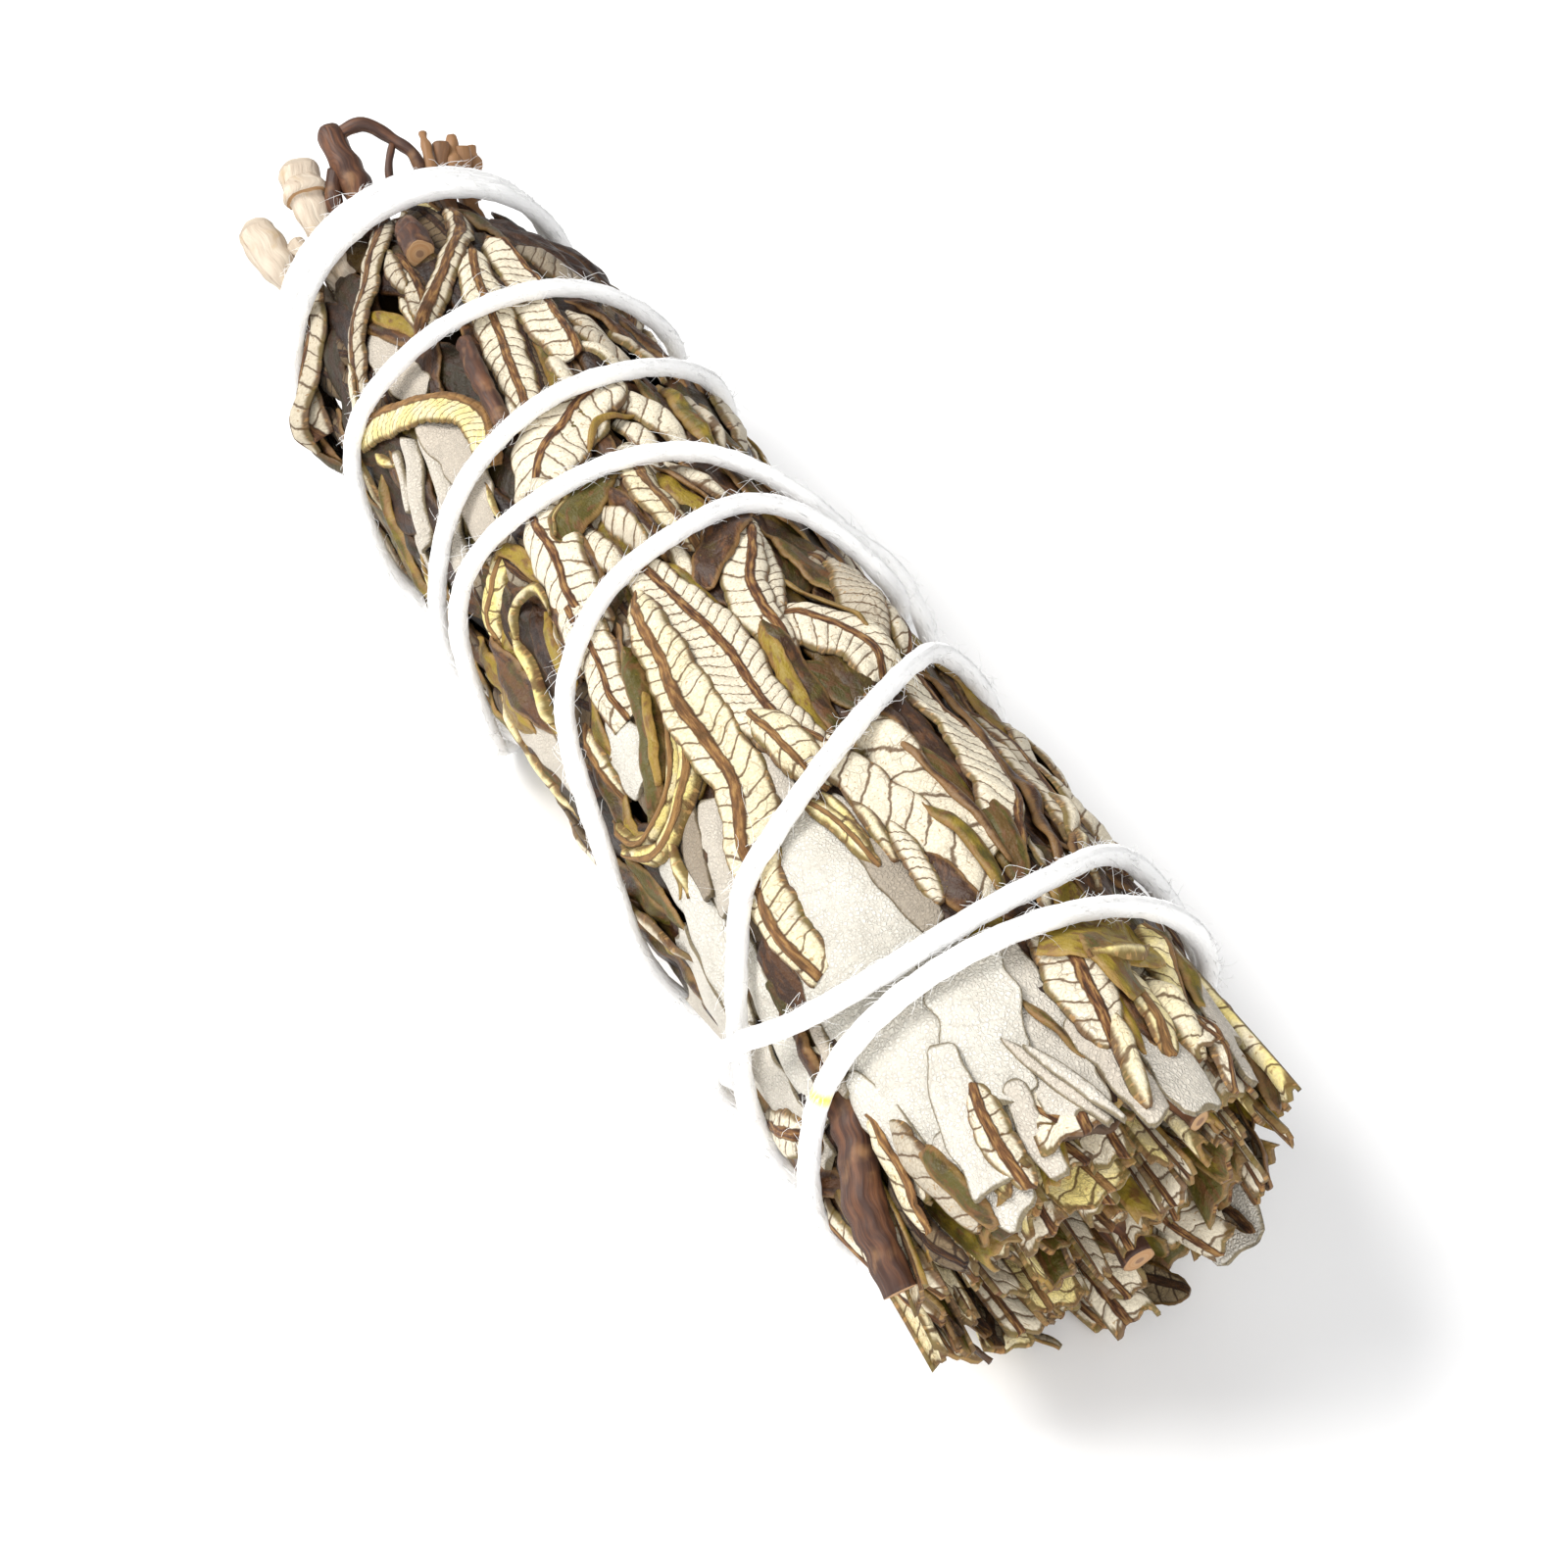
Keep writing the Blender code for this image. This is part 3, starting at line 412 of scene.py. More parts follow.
cells = step(
    network, "CombineXYZ",
    calc(network, "ADD", across_mm, calc(network, "MULTIPLY", tremble, 0.5)),
    calc(network, "ADD", along_mm, calc(network, "MULTIPLY", fine, 0.4)),
    calc(network, "MULTIPLY", chance, 40.0),
).outputs[0]
wide_web = step(network, "TexVoronoi", cells, None, 0.95, voronoi_dimensions="3D", feature="DISTANCE_TO_EDGE")
small_web = step(network, "TexVoronoi", cells, None, 2.3, voronoi_dimensions="3D", feature="DISTANCE_TO_EDGE")
net = calc(
    network, "MULTIPLY", band(network, wide_web.outputs["Distance"], 0.055, 0.015),
    band(network, slow, 0.42, 0.62),
)
small_net = calc(network, "MULTIPLY", band(network, small_web.outputs["Distance"], 0.12, 0.02), 0.42)
net = calc(network, "MAXIMUM", net, small_net)
own_net = calc(network, "FRACT", calc(network, "MULTIPLY", calc(network, "ADD", chance, second_chance), 7.3))
net = calc(network, "MULTIPLY", net, calc(network, "ADD", 0.25, calc(network, "MULTIPLY", own_net, 0.9)))
margin_reach = calc(network, "ADD", 0.20, calc(network, "MULTIPLY", tremble, 0.60))
margin = band(network, edge_mm, margin_reach, calc(network, "MULTIPLY", margin_reach, 0.35))
found = {"Side veins": lines, "Net": net, "Rib": rib, "Rib side": rib_side, "Margin": margin, "Pads": pads}
for label, value in found.items():
    network.links.new(value, result[label])

# The pale, felted underside
CREAM = (0.80, 0.725, 0.565)
CREAM_GREY = (0.52, 0.46, 0.36)
CREAM_YELLOW = (0.84, 0.70, 0.25)
FELT_SHADOW = (0.34, 0.27, 0.17)
VEIN_BROWN = (0.095, 0.046, 0.015)
RIB_DARK = (0.045, 0.019, 0.008)
RIB_RED = (0.150, 0.060, 0.022)
RIB_TAN = (0.34, 0.19, 0.065)
MARGIN_OLIVE = (0.145, 0.098, 0.016)
MARGIN_BROWN = (0.115, 0.050, 0.016)
UNDERSIDE_SHADE = (0.20, 0.15, 0.10)
yerba_underside, tree, shader = new_material("yerba_underside", 0.74)
chance, shade = uv_parts(tree, "tone")
marks = use_group(tree, network)
blotches = use_group(tree, mottle, size_mm=2.4, detail=3.0)[0]
felt = use_group(tree, mottle, size_mm=0.16, detail=2.0)[0]
flecks = use_group(tree, mottle, size_mm=0.34, detail=1.0)[0]
streaks = use_group(tree, mottle, size_mm=0.20, detail=3.0, stretch=7.0)[0]
body = tint(
    tree, band(tree, calc(tree, "ADD", chance, calc(tree, "MULTIPLY", blotches, 0.6)), 0.25, 1.0),
    CREAM_GREY, CREAM,
)
body = tint(
    tree, calc(tree, "MULTIPLY", band(tree, chance, 0.72, 0.95), band(tree, blotches, 0.2, 0.6)),
    body, CREAM_YELLOW,
)
body = tint(tree, calc(tree, "MULTIPLY", band(tree, felt, 0.35, 0.75), 0.34), body, FELT_SHADOW)
body = tint(tree, calc(tree, "MULTIPLY", band(tree, flecks, 0.64, 0.74), 0.7), body, RIB_TAN)
body = tint(tree, calc(tree, "MULTIPLY", marks["Net"], 0.45), body, VEIN_BROWN)
body = tint(tree, calc(tree, "MULTIPLY", marks["Side veins"], 0.88), body, VEIN_BROWN)
# The dark margin band is the rolled-back olive upper side, and also painted shade along the leaf's edge
margin_tint = tint(tree, band(tree, blotches, 0.35, 0.65), MARGIN_OLIVE, MARGIN_BROWN)
margin_tint = tint(tree, band(tree, flecks, 0.55, 0.7), margin_tint, RIB_TAN)
body = tint(tree, calc(tree, "MULTIPLY", marks["Margin"], 0.92), body, margin_tint)
rib_tint = tint(tree, band(tree, streaks, 0.30, 0.55), RIB_DARK, RIB_RED)
rib_tint = tint(tree, band(tree, streaks, 0.47, 0.66), rib_tint, RIB_TAN)
rib_tint = tint(tree, calc(tree, "MULTIPLY", band(tree, chance, 0.66, 1.0), 0.6), rib_tint, RIB_TAN)
rib_tint = tint(tree, calc(tree, "MULTIPLY", band(tree, blotches, 0.5, 0.8), 0.6), rib_tint, RIB_DARK)
rib_tint = tint(tree, calc(tree, "MULTIPLY", marks["Rib side"], 0.7), rib_tint, RIB_DARK)
body = tint(tree, marks["Rib"], body, rib_tint)
body = tint(tree, band(tree, shade, 0.2, 1.0), body, UNDERSIDE_SHADE, "MULTIPLY")
tree.links.new(body, shader.inputs["Base Color"])
relief = calc(tree, "ADD", calc(tree, "MULTIPLY", marks["Pads"], 0.5), calc(tree, "MULTIPLY", felt, 0.5))
relief = calc(tree, "SUBTRACT", relief, calc(tree, "MULTIPLY", marks["Net"], 0.3))
relief = calc(tree, "ADD", relief, calc(tree, "MULTIPLY", calc(tree, "MULTIPLY", marks["Rib"], streaks), 1.6))
add_relief(tree, shader, relief, 0.9, 0.00014)
shader.inputs["Sheen Weight"].default_value = 0.05
shader.inputs["Specular IOR Level"].default_value = 0.25

# The sticky upper side
LEAF_OLIVE = (0.080, 0.064, 0.007)
OLIVE_GOLD = (0.27, 0.185, 0.016)
RESIN_BROWN = (0.045, 0.017, 0.006)
RUST = (0.135, 0.054, 0.016)
UPPER_SHADE = (0.26, 0.20, 0.16)
yerba_upper, tree, shader = new_material("yerba_upper", 0.42)
chance, shade = uv_parts(tree, "tone")
marks = use_group(tree, network, vein_width=0.10)
blotches = use_group(tree, mottle, size_mm=1.8, detail=4.0)[0]
grain = use_group(tree, mottle, size_mm=0.2, detail=3.0)[0]
crust = use_group(tree, mottle, size_mm=0.5, detail=4.0, stretch=2.5)[0]
green = calc(tree, "ADD", calc(tree, "MULTIPLY", chance, 1.1), calc(tree, "SUBTRACT", blotches, 0.55))
body = tint(tree, band(tree, green, 0.15, 0.5), RESIN_BROWN, LEAF_OLIVE)
body = tint(tree, band(tree, green, 0.62, 1.0), body, OLIVE_GOLD)
body = tint(tree, calc(tree, "MULTIPLY", band(tree, crust, 0.5, 0.66), 0.8), body, RUST)
body = tint(tree, calc(tree, "MULTIPLY", band(tree, grain, 0.62, 0.78), 0.5), body, OLIVE_GOLD)
body = tint(tree, calc(tree, "MULTIPLY", marks["Rib"], 0.5), body, RUST)
body = tint(tree, calc(tree, "MULTIPLY", marks["Margin"], 0.5), body, RIB_TAN)
body = tint(tree, band(tree, shade, 0.3, 1.0), body, UPPER_SHADE, "MULTIPLY")
tree.links.new(body, shader.inputs["Base Color"])
rough = calc(tree, "ADD", 0.25, calc(tree, "MULTIPLY", crust, 0.5))
tree.links.new(rough, shader.inputs["Roughness"])
relief = calc(tree, "ADD", calc(tree, "MULTIPLY", marks["Pads"], 0.3), calc(tree, "MULTIPLY", grain, 0.7))
relief = calc(tree, "ADD", relief, calc(tree, "MULTIPLY", crust, 1.6))
add_relief(tree, shader, relief, 0.9, 0.00016)
shader.inputs["Specular IOR Level"].default_value = 0.35
shader.inputs["Coat Weight"].default_value = 0.08
shader.inputs["Coat Roughness"].default_value = 0.3

# YERBA SANTA LEAVES
# Each leaf is a narrow blade with rolled margins, a raised midrib and soft pads between
# its side veins. Leaves are gathered along the stems by hand, so they lie over each other
# at slight angles, and the string holds them.
FOLIAGE = "yerba_santa_foliage"
YERBA = (yerba_underside, yerba_upper)
PALE, OLIVE = 0, 1
VEIN_SPACING = 1.6
ROLL_WIDTH = 1.15
MARGIN_SPOTS = np.array((0.0, 0.04, 0.12, 0.26, 0.5, 0.78))
RIB_SPOTS = np.array((-0.66, -0.36, 0.0, 0.36, 0.66))
UNDER_SPOTS = np.array((0.85, 0.0, -0.85))
LEAF_THICKNESS = 0.28
HIDDEN_RIB = 2.5
FOLDED_WIDTH = 1.9
# More painted shade on the leaves towards the butt: how much, where it starts, and over how many mm it grows
BUTT_SHADE = 0.42
BUTT_START = -28.0
BUTT_FADE = 16.0


def midline_run(line):
    """A midline's places, its direction along and round the bundle, and mm to a degree."""
    x, angle = line[:, 0], line[:, 1]
    per_degree = math.radians(1) * bundle_radius(x)
    ax = np.gradient(x)
    aa = np.gradient(angle) * per_degree
    size = np.hypot(ax, aa)
    return x, angle, ax / size, aa / size, per_degree


def leaf_columns(width, rib, roll, spacing):
    """Where the points across a leaf lie, from -1 to 1, closer at its midrib and margins."""
    coarse = spacing > 0.5
    margin = 1 - (MARGIN_SPOTS[::2] if coarse else MARGIN_SPOTS) * roll
    middle = 1 - 0.95 * roll
    plain = np.linspace(-middle, middle, max(2, round(middle * width / spacing) + 1))
    near = rib + (RIB_SPOTS[:0] if coarse else RIB_SPOTS) * 2 / width
    near = near[np.abs(near) < middle]
    if len(near):
        plain = plain[np.abs(plain - rib) > 1.6 / width]
    return np.unique(np.round(np.concatenate((-margin, plain, near, margin)), 4))


def lay_leaf(sheaf, side, tone, width, points, rib=None, crown=None, puff=0.14, rise=0.0, fine=0.3,
             ends=(0.25, 0.25), shade=0.12, stiff=(2.0, 0.9), rib_height=0.26, rib_wide=1.0,
             spacing=VEIN_SPACING):
    """Lays one leaf along its midline on the bundle, pale or olive side out. A narrow one is
    the folded edge of a leaf, with no midrib in sight. Leaves at the butt get more painted shade."""
    if rib is None:
        rib = 0.0 if width > FOLDED_WIDTH else HIDDEN_RIB
    if width < FOLDED_WIDTH:
        spacing = 3 * spacing
    rng = sheaf["rng"]
    points = np.asarray(points, float)
    rough_line = smooth_line(points, np.linspace(0, 1, 12 * len(points)))
    rough_places = place(rough_line[:, 0], rough_line[:, 1], bundle_radius(rough_line[:, 0]))
    line = even_steps(rough_line, rough_places, fine)
    x, angle, ax, aa, per_degree = midline_run(line)
    along = fine * np.arange(len(x))
    t = along / along[-1]
    swell = np.sin(math.pi * t) ** 0.5
    least = ends[0] + (ends[1] - ends[0]) * t
    half = width / 2 * (least + (1 - least) * np.clip(swell, 0, 1))
    left = -half * (1 + wander(rng, along / 7, 0.10, 3))
    right = half * (1 + wander(rng, along / 7, 0.10, 3))
    roll = min(1.0, 2 * ROLL_WIDTH / width)
    top = leaf_columns(width, rib, roll, fine)
    c = np.concatenate((top, UNDER_SPOTS))
    count = len(top)
    p = np.where(c[None, :] < 0, -c[None, :] * left[:, None], c[None, :] * right[:, None])
    u = p - (-rib * left if rib < 0 else rib * right)[:, None]
    v = np.repeat(along[:, None], len(c), axis=1)
    turned = rng.choice((-1, 1))
    jog = wander(rng, along / 5, 0.22, 2)[:, None]
    phase = (turned * v - 0.5 * np.abs(u) - 0.05 * u**2) / spacing + jog + np.where(u > 0, 0.37, 0.0)
    from_vein = 1 - 2 * np.abs(phase % 1 - 0.5)
    pad = 1 - (1 - from_vein) ** 3
    p = p + np.sign(c)[None, :] * 0.16 * (pad - 0.6) * np.abs(c[None, :]) ** 6
    edge = np.minimum(p - left[:, None], right[:, None] - p) + 0.05
    leaf_x = x[:, None] - aa[:, None] * p
    leaf_angle = angle[:, None] + ax[:, None] * p / per_degree[:, None]
    near_edge = np.clip((1 - np.abs(c)) / roll, 0, 1)
    section = 0.66 * np.sqrt(1 - (1 - near_edge) ** 2) + 0.34 * (1 - c**2)
    crown = min(0.13 * width + 0.22, 1.1) if crown is None else crown
    tilt = rng.uniform(-0.28, 0.28)
    from_end = np.minimum(along, along[-1] - along)
    full = np.clip(from_end / 2.5, 0.15, 1) ** 0.5 * (1 + wander(rng, along / 6, 0.16, 2))
    shape = crown * full[:, None] * section[None, :]
    if side == PALE:
        shape = shape + puff * pad * np.clip((np.abs(u) - 0.3) / 0.5, 0, 1) * near_edge[None, :] ** 0.7
        shape = shape + rib_height * np.exp(-((u / (0.38 * rib_wide)) ** 4)) * full[:, None]
    else:
        crumple = wander(rng, (along[:, None] + 1.3 * u) / 2.3, 0.10, 2)
        crumple = crumple + wander(rng, (along[:, None] - 1.1 * u) / 3.1, 0.09, 2)
        shape = shape + crumple - 0.4 * rib_height * np.exp(-((u / 0.35) ** 2))
    shape = shape + tilt * c[None, :] + wander(rng, along / 6, 0.12, 2)[:, None] * c[None, :]
    shape = shape + wander(rng, along / 4, 0.07, 2)[:, None]
    base = drape(leaf_x[:, :count], leaf_angle[:, :count], along, top * width / 2, *stiff)
    outer = base + shape[:, :count] + rise
    tuck = np.clip(1 - 0.5 * (from_end / 1.5) ** 2, 0, 1)[:, None]
    outer = outer - 0.3 * tuck
    limit = read_map(limits, leaf_x[:, :count], leaf_angle[:, :count]) + 2 * min(rise, 0.0)
    outer = -PRESS_SOFTNESS * np.logaddexp(-outer / PRESS_SOFTNESS, -limit / PRESS_SOFTNESS)
    inner = np.stack([np.interp(UNDER_SPOTS[::-1], top, row)[::-1] for row in outer])
    radius = np.concatenate((outer, inner - LEAF_THICKNESS), axis=1)
    raise_map(leaf_x[:, :count], leaf_angle[:, :count], outer, 0.35 * max(fine, 0.3))
    slots = np.full(len(c), side)
    slots[count:-1] = 1 - side
    shade = min(1.0, shade + BUTT_SHADE * float(np.clip((BUTT_START - x.mean()) / BUTT_FADE, 0, 1)))
    add_rings(
        sheaf, place(leaf_x, leaf_angle, radius), slots, np.stack((u / rib_wide, v), axis=-1),
        np.stack((phase, edge), axis=-1), (tone, shade), side,
    )


# The inner leaves: brown and crumpled, seen only in the gaps between outer ones.
# The innermost are one closed, lumpy core, which shuts out light from behind and is painted in full shade
SEED = 7
INNER_ROWS = range(-55, 52, 9)
INNER_ROUND = 15
INNER_OLIVE_SHARE = 0.8
CORE_SHARE = 0.74
CORE_TIP_SHARE = 0.02
CORE_START, CORE_STOP, CORE_CLOSING = -51.0, 52.0, 0.5
CORE_ROWS, CORE_SIDES = 60, 40
CORE_LUMP, CORE_UNEVEN = 6, 0.05
inner_leaves = new_sheaf()
rng = inner_leaves["rng"] = random.Random(SEED)
core_x = np.linspace(CORE_START, CORE_STOP, CORE_ROWS)
core_turn = np.linspace(0, 360, CORE_SIDES + 1)[:-1]
core_lumps = np.stack([wander(rng, core_x / CORE_LUMP, CORE_UNEVEN, 5) for _ in core_turn], axis=1)
core_body = (core_x > CORE_START + CORE_CLOSING) & (core_x < CORE_STOP - CORE_CLOSING)
core_share = np.where(core_body, CORE_SHARE, CORE_TIP_SHARE)
core_radius = (bundle_radius(core_x) * core_share)[:, None] * (1 + core_lumps)
core_points = place(core_x[:, None], core_turn[None, :], core_radius)
plain_map = np.full((CORE_ROWS, CORE_SIDES, 2), 3.0)
add_rings(inner_leaves, core_points, np.full(CORE_SIDES, OLIVE), plain_map, plain_map, (0.3, 1.0), OLIVE)
for row, start in enumerate(INNER_ROWS):
    for k in range(INNER_ROUND):
        a = 360 * (k + 0.5 * (row % 2)) / INNER_ROUND + rng.uniform(-6, 6)
        x0 = start + rng.uniform(-3, 3)
        length = rng.uniform(11, 19)
        slant = rng.uniform(-16, 16)
        line = ((x0, a - slant), (x0 + length / 2, a + rng.uniform(-8, 8)), (min(x0 + length, 59), a + slant))
        # Each inner leaf is painted in deep shade by its shade value
        lay_leaf(
            inner_leaves, OLIVE if rng.random() < INNER_OLIVE_SHARE else PALE, rng.uniform(0, 0.5),
            rng.uniform(3.5, 6.5),
            line, rib=rng.uniform(-0.5, 0.5), crown=rng.uniform(0.3, 0.7), fine=1.15,
            shade=rng.uniform(0.5, 1.0), stiff=(2.5, 1.0), rise=rng.uniform(-0.1, 0.15),
        )
make_piece("yerba_leaves_inner", inner_leaves, YERBA, "yerba_leaf", FOLIAGE)

# The outer leaves all round: rolled back or folded, and pressed down by the ones that lie
# on top of them. Those on the near side and on the far side are a piece each
OUTER_ROWS = range(-57, 54, 10)
OUTER_ROUND = 13
OUTER_PALE_SHARE = 0.3
NEAR_SIDE = (-58, 112)
outer_sheaves = {}
rng = random.Random(SEED + 4)
for label in ("near", "far"):
    outer_sheaves[label] = new_sheaf()
    outer_sheaves[label]["rng"] = rng
for row, start in enumerate(OUTER_ROWS):
    for k in range(OUTER_ROUND):
        a = 360 * (k + 0.5 * (row % 2)) / OUTER_ROUND + rng.uniform(-7, 7)
        x0 = start + rng.uniform(-4, 4)
        length = rng.uniform(14, 26)
        slant = rng.uniform(-15, 15)
        x1 = min(x0 + length, rng.uniform(59.5, 64.5))
        middle = a + rng.uniform(-9, 9)
        line = ((x0, a - slant), ((x0 + x1) / 2, middle), (x1, a + slant))
        near = (a - NEAR_SIDE[0]) % 360 < NEAR_SIDE[1] - NEAR_SIDE[0]
        side = PALE if rng.random() < OUTER_PALE_SHARE else OLIVE
        tone = rng.uniform(0.1, 0.8) if side == PALE else rng.choice((0.05, 0.15, 0.3, 0.5, 0.8))
        width = rng.uniform(2.0, 5.0)
        # Their shade values paint them in deep shade, for the gaps between the leaves on top
        lay_leaf(
            outer_sheaves["near" if near else "far"], side, tone, width, line,
            rib=rng.choice((-0.6, -0.2, 0.0, 0.1, 0.3, 0.7)), fine=0.55, rise=-0.45 if near else -0.25,
            shade=rng.uniform(0.5, 1.0), ends=(rng.uniform(0.1, 0.5), rng.uniform(0.1, 0.6)),
        )
for label, sheaf in outer_sheaves.items():
    make_piece("yerba_leaves_outer_" + label, sheaf, YERBA, "yerba_leaf", FOLIAGE)

# SAGE LEAVES
# White sage leaves are broad, thick and covered in fine grey-white hairs that make a
# pebbled skin. They were laid in flat between the narrow leaves, some rolled lengthwise.
SAGE_WHITE = (0.765, 0.74, 0.665)
SAGE_BEIGE = (0.56, 0.49, 0.405)
SAGE_SHADOW = (0.40, 0.36, 0.30)
SAGE_EDGE = (0.15, 0.11, 0.045)
SAGE_SPECK = (0.12, 0.07, 0.04)
SAGE_PAINTED_SHADE = (0.42, 0.36, 0.29)
white_sage, tree, shader = new_material("white_sage", 0.88)
chance, shade = uv_parts(tree, "tone")
edge_mm = uv_parts(tree, "vein")[1]
across_mm, along_mm = uv_parts(tree, "leaf")
clouds = use_group(tree, mottle, size_mm=3.5, detail=3.0)[0]
grain = use_group(tree, mottle, size_mm=0.22, detail=2.0)[0]
specks = use_group(tree, mottle, size_mm=0.5, detail=1.0)[0]
wobble = use_group(tree, mottle, size_mm=0.5, detail=2.0)[0]
cell_spot = step(
    tree, "CombineXYZ", calc(tree, "ADD", across_mm, calc(tree, "MULTIPLY", wobble, 0.3)),
    calc(tree, "ADD", along_mm, calc(tree, "MULTIPLY", grain, 0.3)), calc(tree, "MULTIPLY", chance, 9.0),
).outputs[0]
pebble = step(tree, "TexVoronoi", cell_spot, None, 3.3, feature="DISTANCE_TO_EDGE")
pebbles = band(tree, pebble.outputs["Distance"], 0.0, 0.30)
veins = step(tree, "TexVoronoi", cell_spot, None, 0.42, feature="DISTANCE_TO_EDGE")
veins = band(tree, veins.outputs["Distance"], 0.045, 0.015)
body = tint(tree, band(tree, chance, 0.2, 0.9), SAGE_BEIGE, SAGE_WHITE)
body = tint(tree, calc(tree, "MULTIPLY", band(tree, clouds, 0.35, 0.8), 0.28), body, SAGE_SHADOW)
body = tint(tree, calc(tree, "MULTIPLY", calc(tree, "SUBTRACT", 1.0, pebbles), 0.36), body, SAGE_SHADOW)
body = tint(tree, calc(tree, "MULTIPLY", veins, 0.22), body, SAGE_SHADOW)
body = tint(tree, calc(tree, "MULTIPLY", band(tree, grain, 0.45, 0.8), 0.35), body, SAGE_BEIGE)
body = tint(tree, calc(tree, "MULTIPLY", band(tree, specks, 0.80, 0.84), 0.6), body, SAGE_SPECK)
edge = band(tree, edge_mm, calc(tree, "MULTIPLY", calc(tree, "SUBTRACT", wobble, 0.1), 0.55), 0.03)
body = tint(tree, calc(tree, "MULTIPLY", edge, 0.85), body, SAGE_EDGE)
# Painted shade: the sage is darkened as much as its shade value says
body = tint(tree, band(tree, shade, 0.4, 1.0), body, SAGE_PAINTED_SHADE, "MULTIPLY")
tree.links.new(body, shader.inputs["Base Color"])
relief = calc(tree, "ADD", calc(tree, "MULTIPLY", pebbles, 0.5), calc(tree, "MULTIPLY", grain, 0.5))
add_relief(tree, shader, relief, 0.9, 0.00017)
shader.inputs["Sheen Weight"].default_value = 0.12
shader.inputs["Specular IOR Level"].default_value = 0.2

SAGE_STEP = 0.32
SAGE_COLUMN = 0.34
SAGE_THICKNESS = 0.38


def lay_sage(name, seed, width, points, crown=0.25, ends=(0.5, 0.5), chance=0.5, shade=0.1, torn=0.10,
             rise=0.0, blunt=0.35):
    """Lays one sage leaf on the bundle as a piece of its own. A strip replaces no solid."""
    sheaf = new_sheaf()
    rng = random.Random(seed)
    line = smooth_line(points, np.linspace(0, 1, 12 * len(points)))
    line = even_steps(line, place(line[:, 0], line[:, 1], bundle_radius(line[:, 0])), SAGE_STEP)
    x, angle, ax, aa, per_degree = midline_run(line)
    along = SAGE_STEP * np.arange(len(x))
    t = along / along[-1]
    swell = np.sin(math.pi * t) ** blunt
    least = ends[0] + (ends[1] - ends[0]) * t
    half = width / 2 * (least + (1 - least) * swell)
    left = -half * (1 + wander(rng, along / 6, torn, 4))
    right = half * (1 + wander(rng, along / 6, torn, 4))
    count = max(9, round(width / SAGE_COLUMN) + 1)
    top = np.concatenate(((-1, -0.975), np.linspace(-0.93, 0.93, count), (0.975, 1)))
    under = np.array((0.95, 0.7, 0.35, 0.0, -0.35, -0.7, -0.95))
    c = np.concatenate((top, under))
    p = np.where(c[None, :] < 0, -c[None, :] * left[:, None], c[None, :] * right[:, None])
    ragged = wander(rng, p[0] / 5, 0.5, 4) * (2 * t[:, None] - 1) ** 3
    leaf_x = x[:, None] - aa[:, None] * p + ax[:, None] * ragged
    leaf_angle = angle[:, None] + (ax[:, None] * p + aa[:, None] * ragged) / per_degree[:, None]
    shape = crown * (1 - c[None, :] ** 2)
    ripple = wander(rng, along / 7, 0.14, 3)[:, None] * c[None, :] + wander(rng, along / 3, 0.05, 2)[:, None]
    ripple = ripple + wander(rng, p[0] / 3.5, 0.07, 3)[None, :]
    n = len(top)
    base = drape(leaf_x[:, :n], leaf_angle[:, :n], along, top * width / 2, 2.5, 1.6)
    outer = base + shape[:, :n] + ripple[:, :n] + rise + 0.05
    limit = read_map(limits, leaf_x[:, :n], leaf_angle[:, :n])
    outer = -PRESS_SOFTNESS * np.logaddexp(-outer / PRESS_SOFTNESS, -limit / PRESS_SOFTNESS)
    inner = np.stack([np.interp(under[::-1], top, row)[::-1] for row in outer]) - SAGE_THICKNESS
    raise_map(leaf_x[:, :n], leaf_angle[:, :n], outer, 0.2)
    edge = np.minimum(p - left[:, None], right[:, None] - p)
    edge = np.minimum(edge, np.minimum(along, along[-1] - along)[:, None])
    v = np.repeat(along[:, None], len(c), axis=1)
    add_rings(
        sheaf, place(leaf_x, leaf_angle, np.concatenate((outer, inner), axis=1)), np.zeros(len(c), int),
        np.stack((p, v), axis=-1), np.stack((v / 3, edge), axis=-1), (chance, shade), 0,
    )
    solids = (name,) if name.startswith("white_sage") else ()
    make_piece(name.replace("white_sage", "sage"), sheaf, (white_sage,), "sage_leaf", *solids)
